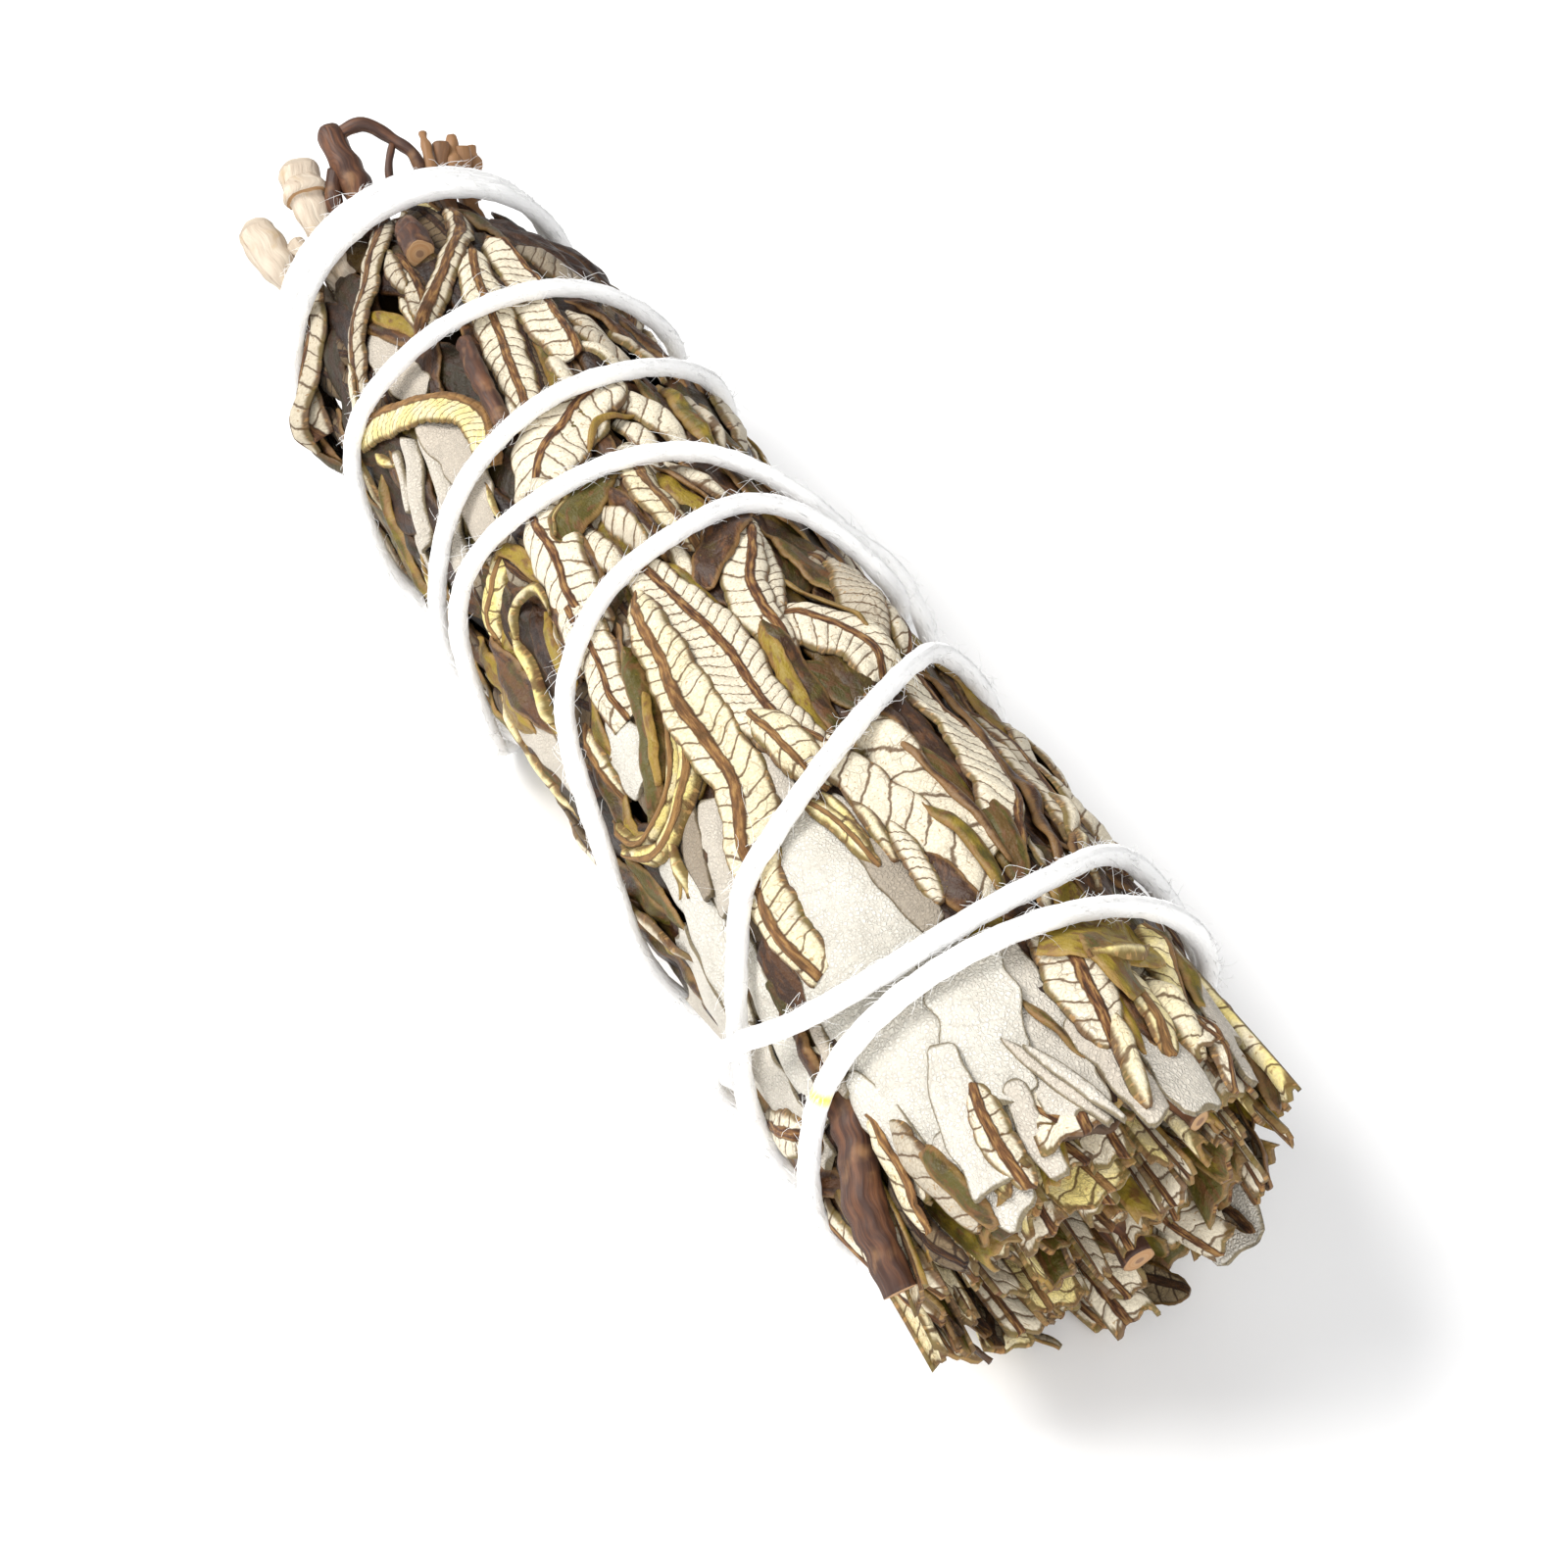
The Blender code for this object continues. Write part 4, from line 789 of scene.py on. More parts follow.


# A shade among a leaf's looks is painted shade.
SAGE_LEAVES = (
    # name, seed, width in mm, midline, and what sets the leaf apart
    ("white_sage_leaf_butt", 1, 4.0, ((-41, 47), (-37, 46), (-33, 44), (-30, 42)), {"chance": 0.35}),
    ("white_sage_leaf_roll_near", 2, 2.6, ((-28, 56), (-25.6, 59.5), (-23.3, 67), (-21, 73), (-19.4, 77)),
     {"crown": 0.9}),
    ("white_sage_leaf_roll_middle", 3, 2.7, ((-26, 50), (-22.7, 53.5), (-19.9, 57), (-17.6, 63), (-13, 68)),
     {"crown": 0.8}),
    ("white_sage_leaf_roll_wide", 4, 4.4,
     ((-27, 44.5), (-22, 44.5), (-18.5, 46.5), (-14.5, 49.5), (-10.5, 54)), {"chance": 0.3}),
    ("white_sage_leaf_scrap", 5, 4.8, ((11.5, 55.5), (15, 56.5), (18.8, 58.5)),
     {"chance": 0.9, "torn": 0.16}),
    ("white_sage_leaf_edge", 6, 3.7, ((0.5, 87), (5, 83.5), (9, 83), (14, 87)), {"chance": 0.45}),
    ("white_sage_leaf_left", 7, 5.8, ((23.5, 69), (28, 69.5), (31.5, 73), (34.5, 79), (37.4, 86)),
     {"crown": 0.55, "chance": 0.8, "ends": (0.6, 0.95)}),
    ("white_sage_leaf_dark", 8, 3.5, ((24.5, 43), (27.5, 47.5), (30, 52.5), (32.8, 59)), {"shade": 0.5}),
    ("white_sage_leaf_short", 9, 3.0, ((24, 26), (27.5, 27), (31.5, 29)), {"chance": 0.5}),
    ("white_sage_leaf_broad", 10, 10.8, ((30, 27), (38, 32), (46, 38), (53, 43), (59.5, 48)),
     {"chance": 0.95, "ends": (0.3, 0.75), "torn": 0.07}),
    ("white_sage_leaf_end", 11, 5.8, ((48.5, 9), (53, 12), (57.5, 14), (62.5, 14)),
     {"chance": 0.6, "ends": (0.6, 0.5)}),
    ("white_sage_leaf_tip", 12, 4.6, ((57, 47), (61, 46), (65, 45)), {"chance": 0.7}),
    ("white_sage_leaf_layer", 13, 3.2, ((56, 3), (60, 0), (65, -2)), {"chance": 0.4, "shade": 0.3}),
    ("white_sage_leaf_far", 14, 5.0, ((56, -14), (60, -15.5), (65, -15)), {"chance": 0.6}),
    ("white_sage_leaf_under_1", 15, 8.4, ((-23, 128), (-14, 126), (-3, 124)), {"chance": 0.6}),
    ("white_sage_leaf_under_2", 16, 7.4, ((26, 118), (36, 122), (47, 120)), {"chance": 0.5}),
    ("white_sage_leaf_back_1", 17, 9.4, ((-21, 262), (-8, 266), (1, 262)), {"chance": 0.7}),
    ("white_sage_leaf_back_2", 18, 8.8, ((25, 278), (34, 272), (44, 276)), {"chance": 0.6}),
    ("white_sage_leaf_back_3", 19, 7.4, ((49, 232), (57, 236), (64, 232)), {"chance": 0.8}),
    ("white_sage_leaf_back_4", 20, 6.8, ((-47, 240), (-40, 246), (-34, 252)), {"chance": 0.4}),
    ("sage_strip_beside_rolls", 21, 1.3, ((-28.5, 63), (-26, 68), (-24, 74)), {"crown": 0.5}),
    ("sage_strip_under_hook", 22, 2.2, ((-22, 78), (-19.8, 83), (-18.2, 89)), {"chance": 0.4}),
    ("sage_strip_shadow", 23, 2.2, ((23.5, 50), (26.5, 55), (30.5, 60)), {"shade": 0.85}),
    ("sage_strip_outer", 24, 3.6, ((33, 62), (38, 66.5), (42, 71), (46, 74.5), (48.4, 77)), {"chance": 0.85}),
    ("sage_strip_side", 38, 6.0, ((27, 86), (33, 91), (39, 94), (45, 96)),
     {"chance": 0.7, "ends": (0.4, 0.7)}),
    ("sage_strip_side_low", 39, 4.6, ((38, 83), (44, 86), (50, 88)),
     {"chance": 0.6, "ends": (0.5, 0.8), "torn": 0.15}),
    ("sage_strip_top", 25, 1.4, ((31.5, 16.5), (35.5, 15.6), (39, 15.5)), {"shade": 0.25, "crown": 0.5}),
    ("sage_strip_dark_top", 26, 2.8, ((36.5, 18), (41, 17.2), (45.5, 16.5)), {"shade": 0.75}),
    ("sage_strip_wide", 27, 6.2, ((46, 15), (51, 20), (55, 25), (59, 29)),
     {"chance": 0.95, "torn": 0.12, "rise": 0.25}),
    ("sage_strip_torn", 36, 3.4, ((53, 34), (57, 39), (62.5, 45)),
     {"chance": 0.8, "torn": 0.2, "rise": 0.3, "ends": (0.4, 0.9)}),
    ("sage_strip_fold", 37, 2.2, ((58, 25), (61, 28), (64.5, 30)),
     {"chance": 0.5, "torn": 0.2, "shade": 0.3}),
    ("sage_strip_left", 28, 3.6, ((49.6, 60), (53, 58), (57, 56.5)), {"chance": 0.9}),
    ("sage_strip_between", 29, 1.3, ((44, 57), (47, 59.5), (50, 61.5)), {"chance": 0.3}),
    ("sage_strip_far_1", 30, 2.6, ((50.5, -51), (54, -53), (59, -52)), {"shade": 0.4}),
    ("sage_strip_far_2", 31, 2.8, ((54.5, -44), (58, -44), (63, -42)), {"shade": 0.3, "chance": 0.4}),
    ("sage_strip_cut_1", 32, 1.1, ((55, 21), (59.5, 16.5), (64, 11)),
     {"chance": 0.4, "rise": 0.1, "blunt": 0.6, "ends": (0.2, 0.5)}),
    ("sage_strip_cut_2", 33, 1.0, ((56.5, 18), (60, 13.5), (64.5, 8)),
     {"chance": 0.6, "rise": 0.2, "blunt": 0.6, "ends": (0.2, 0.4)}),
)
for name, seed, width, points, looks in SAGE_LEAVES:
    lay_sage(name, seed, width, points, **looks)

# THE LEAVES THAT LIE ON TOP
# The outermost leaves on the side that was photographed, each in its own place, in the
# order in which they overlap. The rest of the way round is filled in the same manner.
# A shade among a leaf's looks is painted shade; leaves at the butt get more.
TOP_LEAVES = (
    # side out, tone, width in mm, midline, and what sets the leaf apart
    (OLIVE, 0.1, 3.2, ((-51, -25), (-45, -33), (-38, -46)), {"shade": 0.5}),
    (OLIVE, 0.05, 2.6, ((-51, -40), (-45, -50), (-38, -62)), {"shade": 0.5}),
    (OLIVE, 0.15, 2.2, ((-50, -17), (-44, -26), (-37, -37)), {"shade": 0.4}),
    (PALE, 0.1, 3.0, ((-43, -19), (-38.5, -27), (-34, -35)), {"rib": 1.6, "shade": 0.4}),
    (PALE, 0.0, 1.0, ((-47, -14), (-43.5, -10.5), (-40, -8)), {"shade": 0.5, "crown": 0.6}),
    (OLIVE, 0.9, 1.0, ((-47, -19.5), (-42.5, -17)), {}),
    (OLIVE, 0.05, 2.6, ((-34, -20), (-30, -33), (-26, -41), (-21, -50)), {"crown": 0.6}),
    (OLIVE, 0.1, 2.4, ((-34, -42), (-28, -52), (-20, -60)), {"shade": 0.4}),
    (PALE, 0.15, 1.3, ((-29, -30), (-25.5, -36), (-22, -41)), {"shade": 0.35, "crown": 0.6}),
    (PALE, 0.3, 3.0, ((-31, -16), (-26, -20.5), (-21, -23)), {"rib": 1.6, "shade": 0.35}),
    (PALE, 0.05, 2.4, ((-27.5, -12), (-24, -17), (-20, -23)), {"rib": 1.8, "shade": 0.3}),
    (PALE, 0.7, 1.8, ((-25, -7), (-22.5, -13), (-20, -18)), {}),
    (OLIVE, 0.7, 1.1, ((-31, -2), (-28, 0), (-24, 3), (-19, 8)), {"crown": 0.5}),
    (PALE, 0.5, 1.8, ((-25.5, -0.5), (-22.5, 1.5), (-19, 1.5)), {}),
    (PALE, 0.6, 3.9,
     ((-44.5, -10), (-40, -10.5), (-35.5, -9.5), (-32.2, -6.5), (-29, -5), (-26.5, -4), (-23, -3.5)),
     {"rib": -0.62, "ends": (0.2, 0.5)}),
    (OLIVE, 0.1, 1.8, ((-35, 16.5), (-31.5, 17.5), (-28.5, 19.5)), {}),
    (PALE, 0.75, 4.2,
     ((-43.5, -3), (-40.3, 1.5), (-37, 5), (-32.3, 8.2), (-29, 10.5), (-26.2, 13), (-22, 16), (-17.5, 20)),
     {"rib": 0.0, "rib_wide": 1.1}),
    (PALE, 0.7, 1.2, ((-23, 21), (-20.5, 22.5), (-17.5, 24)), {}),
    (OLIVE, 0.2, 1.6, ((-44, 46), (-40.5, 41.5), (-38, 37.5), (-34.5, 32.5)), {}),
    (OLIVE, 0.9, 1.7, ((-44, 42), (-41.5, 38.5), (-39, 34.5), (-35, 30)), {}),
    (PALE, 0.7, 1.3, ((-43, 29), (-39.5, 29.5), (-36, 30)), {}),
    (PALE, 0.6, 2.3, ((-47, 21.5), (-42, 23), (-39.5, 24.5), (-36, 28.5)), {"rib": -0.5}),
    (PALE, 0.6, 2.0, ((-48.5, 23.5), (-44.5, 25.5), (-42, 25)), {"rib": 1.6}),
    (OLIVE, 0.6, 1.2, ((-48, -1), (-51, -8), (-51, -16), (-47, -16), (-42, -12)), {"shade": 0.35}),
    (PALE, 0.75, 2.8, ((-52, -10), (-48, -6), (-45, -0.5), (-41.5, 8), (-39, 17), (-37, 25), (-34.5, 35)),
     {"rib_wide": 1.6, "ends": (0.7, 0.3), "rib": 0.0}),
    (PALE, 0.65, 3.6,
     ((-55, 15), (-51, 23), (-49, 30), (-46.5, 38), (-44, 45), (-41.5, 54), (-38, 61), (-35.5, 66)),
     {"rib_wide": 1.45, "ends": (0.5, 0.55), "rib": 0.0}),
    (OLIVE, 0.3, 3.4, ((-57, 82), (-50, 92), (-41, 101)), {"rise": 0.9}),
    (PALE, 0.5, 3.2, ((-56, 70), (-50, 82), (-43, 91)), {"rise": 0.7, "rib": 0.3}),
    (PALE, 0.75, 2.4, ((-41, 58), (-37.5, 66), (-35, 74)), {"rib": 1.6}),
    (OLIVE, 0.3, 1.7, ((-43, 81), (-39.5, 85), (-37, 91)), {}),
    (PALE, 0.7, 4.0, ((-58, 51), (-54.5, 61), (-51, 67), (-48.5, 77), (-46, 89), (-43.5, 99)), {"rib": 0.12}),
    (OLIVE, 0.7, 4.4, ((-37, 98), (-31, 101), (-26, 105), (-19, 111)), {"crown": 0.4}),
    (OLIVE, 0.55, 3.6, ((-50, 106), (-42, 104), (-34, 108)), {"shade": 0.4}),
    (OLIVE, 0.7, 1.4, ((-31.5, 75), (-29.5, 84), (-27.5, 88.5), (-25, 93), (-22, 99), (-18, 103)),
     {"crown": 0.6}),
    (PALE, 0.8, 1.4, ((-36.3, 73), (-34, 81), (-32.3, 87), (-30.8, 95)), {"crown": 0.5}),
    (OLIVE, 0.3, 2.2, ((-31.5, 68), (-28.5, 71), (-26, 76)), {"crown": 0.4}),
    (PALE, 0.95, 0.9, ((-32.8, 72), (-30.6, 70.5), (-28, 66)), {"shade": 0.3}),
    (OLIVE, 0.85, 1.5, ((-21, 81), (-18.8, 86), (-16.5, 93)), {}),
    (PALE, 0.9, 0.8, ((-22.5, 86), (-20, 92), (-18, 99)), {}),
    (OLIVE, 0.6, 1.7, ((-17.5, 81), (-14.5, 87), (-11.5, 96)), {"shade": 0.3}),
    (PALE, 0.15, 1.5, ((-18, 95), (-15, 99), (-12, 105)), {"shade": 0.25}),
    (PALE, 0.9, 3.4,
     ((-35, 74), (-34.2, 69), (-31.5, 57.5), (-29.2, 49), (-27.3, 42), (-25, 35.5), (-22.5, 33.2),
      (-20, 34), (-17, 38)),
     {"rib": -0.66, "rise": 0.25, "rib_wide": 1.6, "spacing": 0.85, "ends": (0.7, 0.6), "crown": 0.75}),
    (PALE, 0.95, 0.8, ((-16, 42.5), (-13, 44.5), (-10.5, 46.5)), {}),
    (OLIVE, 0.5, 1.8, ((-21, -22), (-15, -20), (-10, -20.5)), {"shade": 0.4}),
    (OLIVE, 0.4, 1.7, ((-19, -46), (-14, -42.5), (-7, -40)), {"shade": 0.4}),
    (PALE, 0.2, 1.6, ((-20, -39), (-14, -34.5), (-8.5, -31)), {"shade": 0.35, "crown": 0.7}),
    (OLIVE, 0.75, 1.9, ((-20, -31), (-16, -28), (-12, -26.5), (-8.5, -26)), {"crown": 0.9}),
    (OLIVE, 0.1, 2.0, ((-14.5, 4.5), (-12, 5.5), (-9.5, 6.5)), {"shade": 0.4}),
    (PALE, 0.6, 2.4, ((-15, -4), (-12, -6.5), (-8.5, -8.5)), {"rib": 1.6, "crown": 0.35}),
    (PALE, 0.65, 3.0, ((-19, -5), (-16, -11), (-13, -15.5), (-9, -19)), {"rib": 1.6, "spacing": 2.2}),
    (PALE, 0.62, 7.6,
     ((-19.5, -9), (-18, -2), (-17, 5), (-15.4, 12), (-14.3, 19), (-12.7, 24.8), (-11, 30), (-9, 36)),
     {"rib": 0.03, "rib_wide": 1.2, "ends": (0.45, 0.5), "rib_height": 0.4, "crown": 0.9}),
    (OLIVE, 0.95, 0.7, ((-14.2, -10), (-14, -2.5), (-13.7, 3.3), (-12.2, 8.3), (-11, 12)),
     {"crown": 0.35, "rise": 0.1}),
    (OLIVE, 0.35, 2.6, ((-8, -26), (-2, -31), (4, -37)), {"shade": 0.4}),
    (OLIVE, 0.1, 2.6, ((-7, -40), (0, -45), (7, -51)), {"shade": 0.5}),
    (OLIVE, 0.2, 1.5, ((-8, -14), (-4, -18), (1, -24)), {"shade": 0.3}),
    (PALE, 0.4, 1.8, ((-8, -7.5), (-5, -12), (-2, -18)), {"spacing": 1.2}),
    (OLIVE, 1.0, 2.0, ((-7, -1), (-3, -5), (1, -10.5)), {"rib": 1.6}),
    (OLIVE, 0.1, 0.8, ((-8, -3), (-4, -8), (0, -14)), {}),
    (OLIVE, 0.0, 1.3, ((-7.5, 9.5), (-3.5, 9.5), (1.5, 8.5)), {"crown": 0.6, "shade": 0.4}),
    (OLIVE, 0.05, 1.7, ((-7.5, 15.5), (-4, 13.5), (-1, 13), (3, 11)), {"crown": 0.7, "shade": 0.3}),
    (PALE, 0.5, 1.0, ((-2, 14.6), (-0.3, 13.3), (1.4, 12.4)), {}),
    (PALE, 0.3, 2.2, ((-5, 19.5), (-2, 17.5), (2, 16)), {"rib": 1.6}),
    (PALE, 0.8, 3.2, ((-10, 3), (-7.6, 3.2), (-4.7, 5), (-2.3, 4.7), (0.4, 3.7), (4, 2.5)),
     {"rib": -0.2, "rib_wide": 1.3, "rib_height": 0.35}),
    (PALE, 0.7, 2.4, ((-5, 26.8), (-1, 26.5), (3.5, 25)), {"rib": 1.6}),
    (OLIVE, 0.15, 0.9, ((-5, 28.5), (-2, 29.5), (0.5, 30.5), (4, 34)), {"shade": 0.4}),
    (PALE, 0.7, 4.2, ((-11.5, 30.5), (-8, 32.5), (-4.5, 34)), {"rib": 1.6}),
    (PALE, 0.6, 5.4, ((-9, 36.5), (-4.8, 36.8), (-3, 37.5), (-1.5, 38.7), (0, 40.5), (3, 41.8), (6, 44)),
     {"rib": 0.0, "ends": (0.4, 0.5)}),
    (OLIVE, 0.6, 3.8, ((-9.2, 11), (-7.3, 17), (-6, 24), (-3.8, 34)), {"ends": (0.9, 0.15), "rib": 1.5}),
    (PALE, 0.95, 0.7, ((-9, 20.5), (-6.8, 28.5), (-4.1, 34.2)), {"shade": 0.3}),
    (PALE, 0.95, 2.7,
     ((-9.6, 53), (-8.4, 57.5), (-7.8, 60.5), (-7.6, 65), (-7.5, 69), (-6.4, 72.5), (-4.8, 76)),
     {"ends": (0.7, 0.2), "rib_wide": 0.8}),
    (OLIVE, 1.0, 1.5, ((-10, 57), (-9.8, 51.5), (-8.3, 48.5), (-6, 47), (-3, 46)), {}),
    (OLIVE, 0.1, 3.6, ((-3.5, 54), (1, 58), (7, 63)), {"shade": 0.8, "rise": -0.3}),
    (OLIVE, 0.2, 1.2, ((-1.5, 47.5), (2, 49.5), (6, 55)), {}),
    (PALE, 0.1, 0.9, ((0.5, 50), (3.5, 54.5)), {"shade": 0.2}),
    (OLIVE, 0.95, 1.4, ((-1.5, 52), (2.5, 55.5), (6.5, 61)), {"crown": 0.6}),
    (PALE, 0.95, 1.0, ((-2.6, 68), (-3.9, 62), (-4.4, 56.5), (-3.6, 50), (-1.8, 48), (0.5, 49.5)),
     {"shade": 0.45, "rise": 0.2}),
    (OLIVE, 0.9, 1.3, ((-5.5, 69.5), (-4, 73.5), (-2, 72)), {}),
    (OLIVE, 0.7, 2.6, ((-12, 100), (-4, 102), (5, 104)), {"shade": 0.3}),
    (OLIVE, 0.95, 2.8, ((-11, 91), (-6, 87.5), (-1, 85), (4, 82)), {}),
    (OLIVE, 0.25, 2.6, ((-8, 78), (-2, 77), (2, 76), (6, 75)), {"shade": 0.2}),
    (PALE, 0.85, 1.1, ((-4, 90.5), (0.5, 93), (5, 95), (10, 98)), {}),
    (PALE, 0.98, 1.1, ((-4, 66.5), (-1, 68), (1.5, 69.5), (4, 71.5), (7, 74)), {"crown": 0.6}),
    (OLIVE, 0.4, 3.0, ((2, -23), (8, -26), (14, -31), (21, -41)), {"shade": 0.25}),
    (PALE, 0.35, 2.6, ((6, -46), (13, -38.5), (20, -32)), {"rib": -0.7, "shade": 0.15}),
    (PALE, 0.05, 3.4, ((7, -36), (13, -29), (18, -24.5), (22, -24)),
     {"rib": 1.6, "shade": 0.35, "spacing": 1.0}),
    (PALE, 0.65, 5.0, ((12.3, -3), (13.6, -7), (15.2, -11), (16.6, -14.5), (18, -17), (20, -18.5), (23, -17)),
     {"rib": -0.1, "spacing": 1.25, "ends": (0.5, 0.5)}),
    (OLIVE, 0.6, 0.9, ((7.5, -10.5), (11.5, -16.5), (15, -21), (18.5, -23)), {}),
    (PALE, 0.5, 2.4, ((0, -21), (2.4, -17.5), (6.4, -13.5), (10.4, -8), (14, -3)),
     {"rib": 0.78, "spacing": 1.0}),
    (OLIVE, 0.15, 0.8, ((3.5, -13), (8, -6.5), (12, -3), (17, -2)), {}),
    (PALE, 0.6, 3.9, ((2, -17), (4, -12), (6, -8), (9.2, -1), (12.5, 1.2), (15, 0.8), (18.5, 0.5)),
     {"rib": -0.23, "rib_wide": 1.1}),
    (PALE, 0.7, 1.6, ((1, 9), (3.5, 9), (7, 11)), {}),
    (OLIVE, 0.8, 1.4, ((2.5, 15.5), (6, 12), (9, 10.5), (12.5, 9)), {"crown": 0.7}),
    (OLIVE, 0.12, 3.4, ((-1.5, -20), (1, -13), (3.5, -5), (6.3, 5), (7.8, 10)),
     {"ends": (0.9, 0.35), "rib": 1.6}),
    (OLIVE, 0.3, 2.2, ((13.5, 2), (18, 2), (22, 2.5), (27, 3)), {"rib": 1.6}),
    (OLIVE, 1.0, 1.6, ((14.5, 4.5), (19, 6), (23, 7.5), (28, 9)), {}),
    (PALE, 0.65, 5.6,
     ((1.5, 21.5), (6.5, 19.5), (9.8, 18.8), (14.2, 16.8), (18, 17), (21, 17.8), (23.5, 17), (26, 13.5),
      (28.5, 8)),
     {"rib": -0.15, "rib_height": 0.45, "puff": 0.26, "spacing": 1.15}),
    (OLIVE, 0.15, 1.0, ((6, 26.5), (9.5, 27.3), (13, 26.3), (16.5, 28)), {"crown": 0.5}),
    (OLIVE, 0.1, 1.4, ((9, 37.5), (12.5, 41.5), (16, 45)), {"crown": 0.7}),
    (PALE, 0.1, 1.5, ((6, 33.5), (9, 37), (12, 40)), {"crown": 0.9, "rise": 0.2}),
    (OLIVE, 0.1, 1.2, ((6, 35.5), (10.5, 40), (15, 45)), {"crown": 0.4}),
    (OLIVE, 0.75, 1.8, ((8.5, 57), (11, 60), (13.5, 64)), {}),
    (OLIVE, 0.3, 1.6, ((10, 69), (14.5, 73), (19, 77)), {"shade": 0.4}),
    (PALE, 0.8, 1.6, ((9, 63.5), (12.5, 66.5), (16.5, 70.5)), {"rib": 0.3}),
    (PALE, 0.7, 4.2, ((1.5, 43.5), (6.3, 45.2), (10.6, 48.3), (13.4, 49.3)),
     {"rib": 0.0, "rib_wide": 0.8, "ends": (0.6, 0.85)}),
    (OLIVE, 0.55, 2.3, ((9.5, 36.5), (13.8, 41.8), (17.6, 48.2), (20.2, 55.5), (20.8, 64)),
     {"crown": 0.8, "rib": 1.6}),
    (OLIVE, 1.0, 0.8, ((13.5, 39.5), (17.5, 45.5), (20.5, 52.5)), {"rise": 0.1}),
    (OLIVE, 0.85, 1.0, ((16, 69), (18, 73), (20.5, 70), (20.8, 64)), {}),
    (OLIVE, 1.0, 1.1, ((20, 38), (22.6, 42.5), (23.6, 47)), {}),
    (PALE, 0.98, 1.8, ((14, 34), (15.4, 35.8), (19.5, 44), (22, 51.7), (22.3, 60.3), (20.9, 71.5), (16, 79)),
     {"crown": 0.8, "rib": 0.1, "rib_wide": 0.7, "puff": 0.05}),
    (PALE, 0.96, 1.8,
     ((16, 34), (17.4, 36), (21, 41.4), (23.2, 47.4), (24.2, 54), (24, 63), (22.5, 70.6), (18.4, 81)),
     {"crown": 0.8, "rib": -0.2, "rib_wide": 0.7, "puff": 0.05}),
    (OLIVE, 0.95, 1.1, ((24.5, 61), (26.5, 66), (27.2, 71)), {"crown": 0.3}),
    (PALE, 0.9, 0.9, ((24.3, 59), (27, 62.5), (28.6, 66)), {}),
    (OLIVE, 0.35, 2.8, ((12.5, 97), (17, 95), (21, 91), (25.5, 88)), {"rib": 1.6}),
    (OLIVE, 0.5, 2.2, ((17.5, 84), (22, 81.5), (28, 81)), {"shade": 0.3, "rib": 1.6}),
    (OLIVE, 0.3, 1.7, ((14, 108), (22, 104), (31, 97)), {"shade": 0.4}),
    (OLIVE, 0.8, 1.5, ((15, 102), (22, 97), (29, 90)), {"crown": 0.6}),
    (PALE, 0.3, 1.0, ((18, 97.5), (24, 92), (30, 86)), {"shade": 0.4}),
    (PALE, 0.8, 4.6,
     ((5, 26.5), (7.8, 28), (12, 29.5), (16.3, 31.8), (20.9, 32.6), (25.2, 33.6), (28.8, 37.8), (31.8, 43),
      (34, 45.5), (36.2, 46.6), (39, 47.3), (42.5, 47)),
     {"rib": 0.19, "rib_wide": 1.25, "rib_height": 0.4, "ends": (0.3, 0.5), "crown": 0.8}),
    (PALE, 0.15, 2.6, ((22, -56), (32, -57.5), (39, -51), (45, -46)), {"shade": 0.4}),
    (PALE, 0.3, 2.4, ((27, -49), (33, -47), (37, -43), (41.5, -38)), {"rib": 1.6}),
    (OLIVE, 0.05, 1.5,
     ((20.5, -35.5), (24, -38.5), (27, -41), (32, -40.5), (36, -37), (40, -30.5), (45, -24)), {"crown": 0.6}),
    (OLIVE, 0.0, 2.4, ((22.5, -16.5), (28, -15), (33, -15.5), (37, -15)), {"shade": 0.5, "rib": 1.6}),
    (OLIVE, 0.6, 2.0, ((26, -9.5), (31, -8), (34, -11.5), (39, -14)), {"crown": 0.6}),
    (OLIVE, 0.05, 1.3, ((23, -10), (27, -9.5), (31, -9)), {"crown": 0.6}),
    (PALE, 0.65, 4.6,
     ((20.5, -27), (24, -26), (26.7, -25.7), (29.7, -27), (32.6, -26.2), (36.3, -22.7), (39.7, -16.5),
      (43.5, -12)),
     {"rib": -0.58, "rib_wide": 1.25}),
    (OLIVE, 0.5, 2.2, ((37, -15.5), (41, -13.5), (45, -11.5)), {"crown": 0.6}),
    (OLIVE, 0.15, 1.3, ((41, -29), (42.5, -36), (40.5, -43)), {}),
    (PALE, 0.5, 1.6, ((35, -46), (38.5, -42), (41, -37)), {}),
    (PALE, 0.2, 1.4, ((41, -22), (44, -20)), {"shade": 0.3}),
    (PALE, 0.8, 3.2, ((21.5, 21), (26, 18.5), (30.5, 16.5)), {"rib": 0.2, "rib_wide": 0.7}),
    (PALE, 0.7, 3.6, ((25.5, -1.5), (28.9, -2.1), (32.4, -2.6), (35.5, -3.8), (38.1, -5.4), (42, -8)),
     {"rib": 1.6, "spacing": 3.0, "ends": (0.6, 0.2)}),
    (OLIVE, 0.1, 0.9, ((30, -5), (34.8, -7.5), (38, -9), (43, -10.8)), {}),
    (PALE, 0.65, 3.9,
     ((27.5, 11.3), (30.1, 9.8), (33.9, 8.2), (36.8, 5.2), (39.8, 3.5), (42.8, 2.5), (46.5, 1)),
     {"rib": 1.6, "spacing": 2.3, "ends": (0.6, 0.5)}),
    (OLIVE, 0.75, 1.6, ((36.5, 0.8), (40, -3), (43, -4.5), (46, -3)), {"crown": 0.6}),
    (PALE, 0.8, 1.2, ((32.5, 14), (35.5, 13.8), (39.5, 14.8)), {}),
    (PALE, 0.9, 1.0, ((29.5, 19.3), (33.5, 18), (38, 18)), {}),
    (PALE, 0.9, 1.5, ((29.5, 24.8), (33.3, 21.2), (36.4, 20), (39.2, 19)),
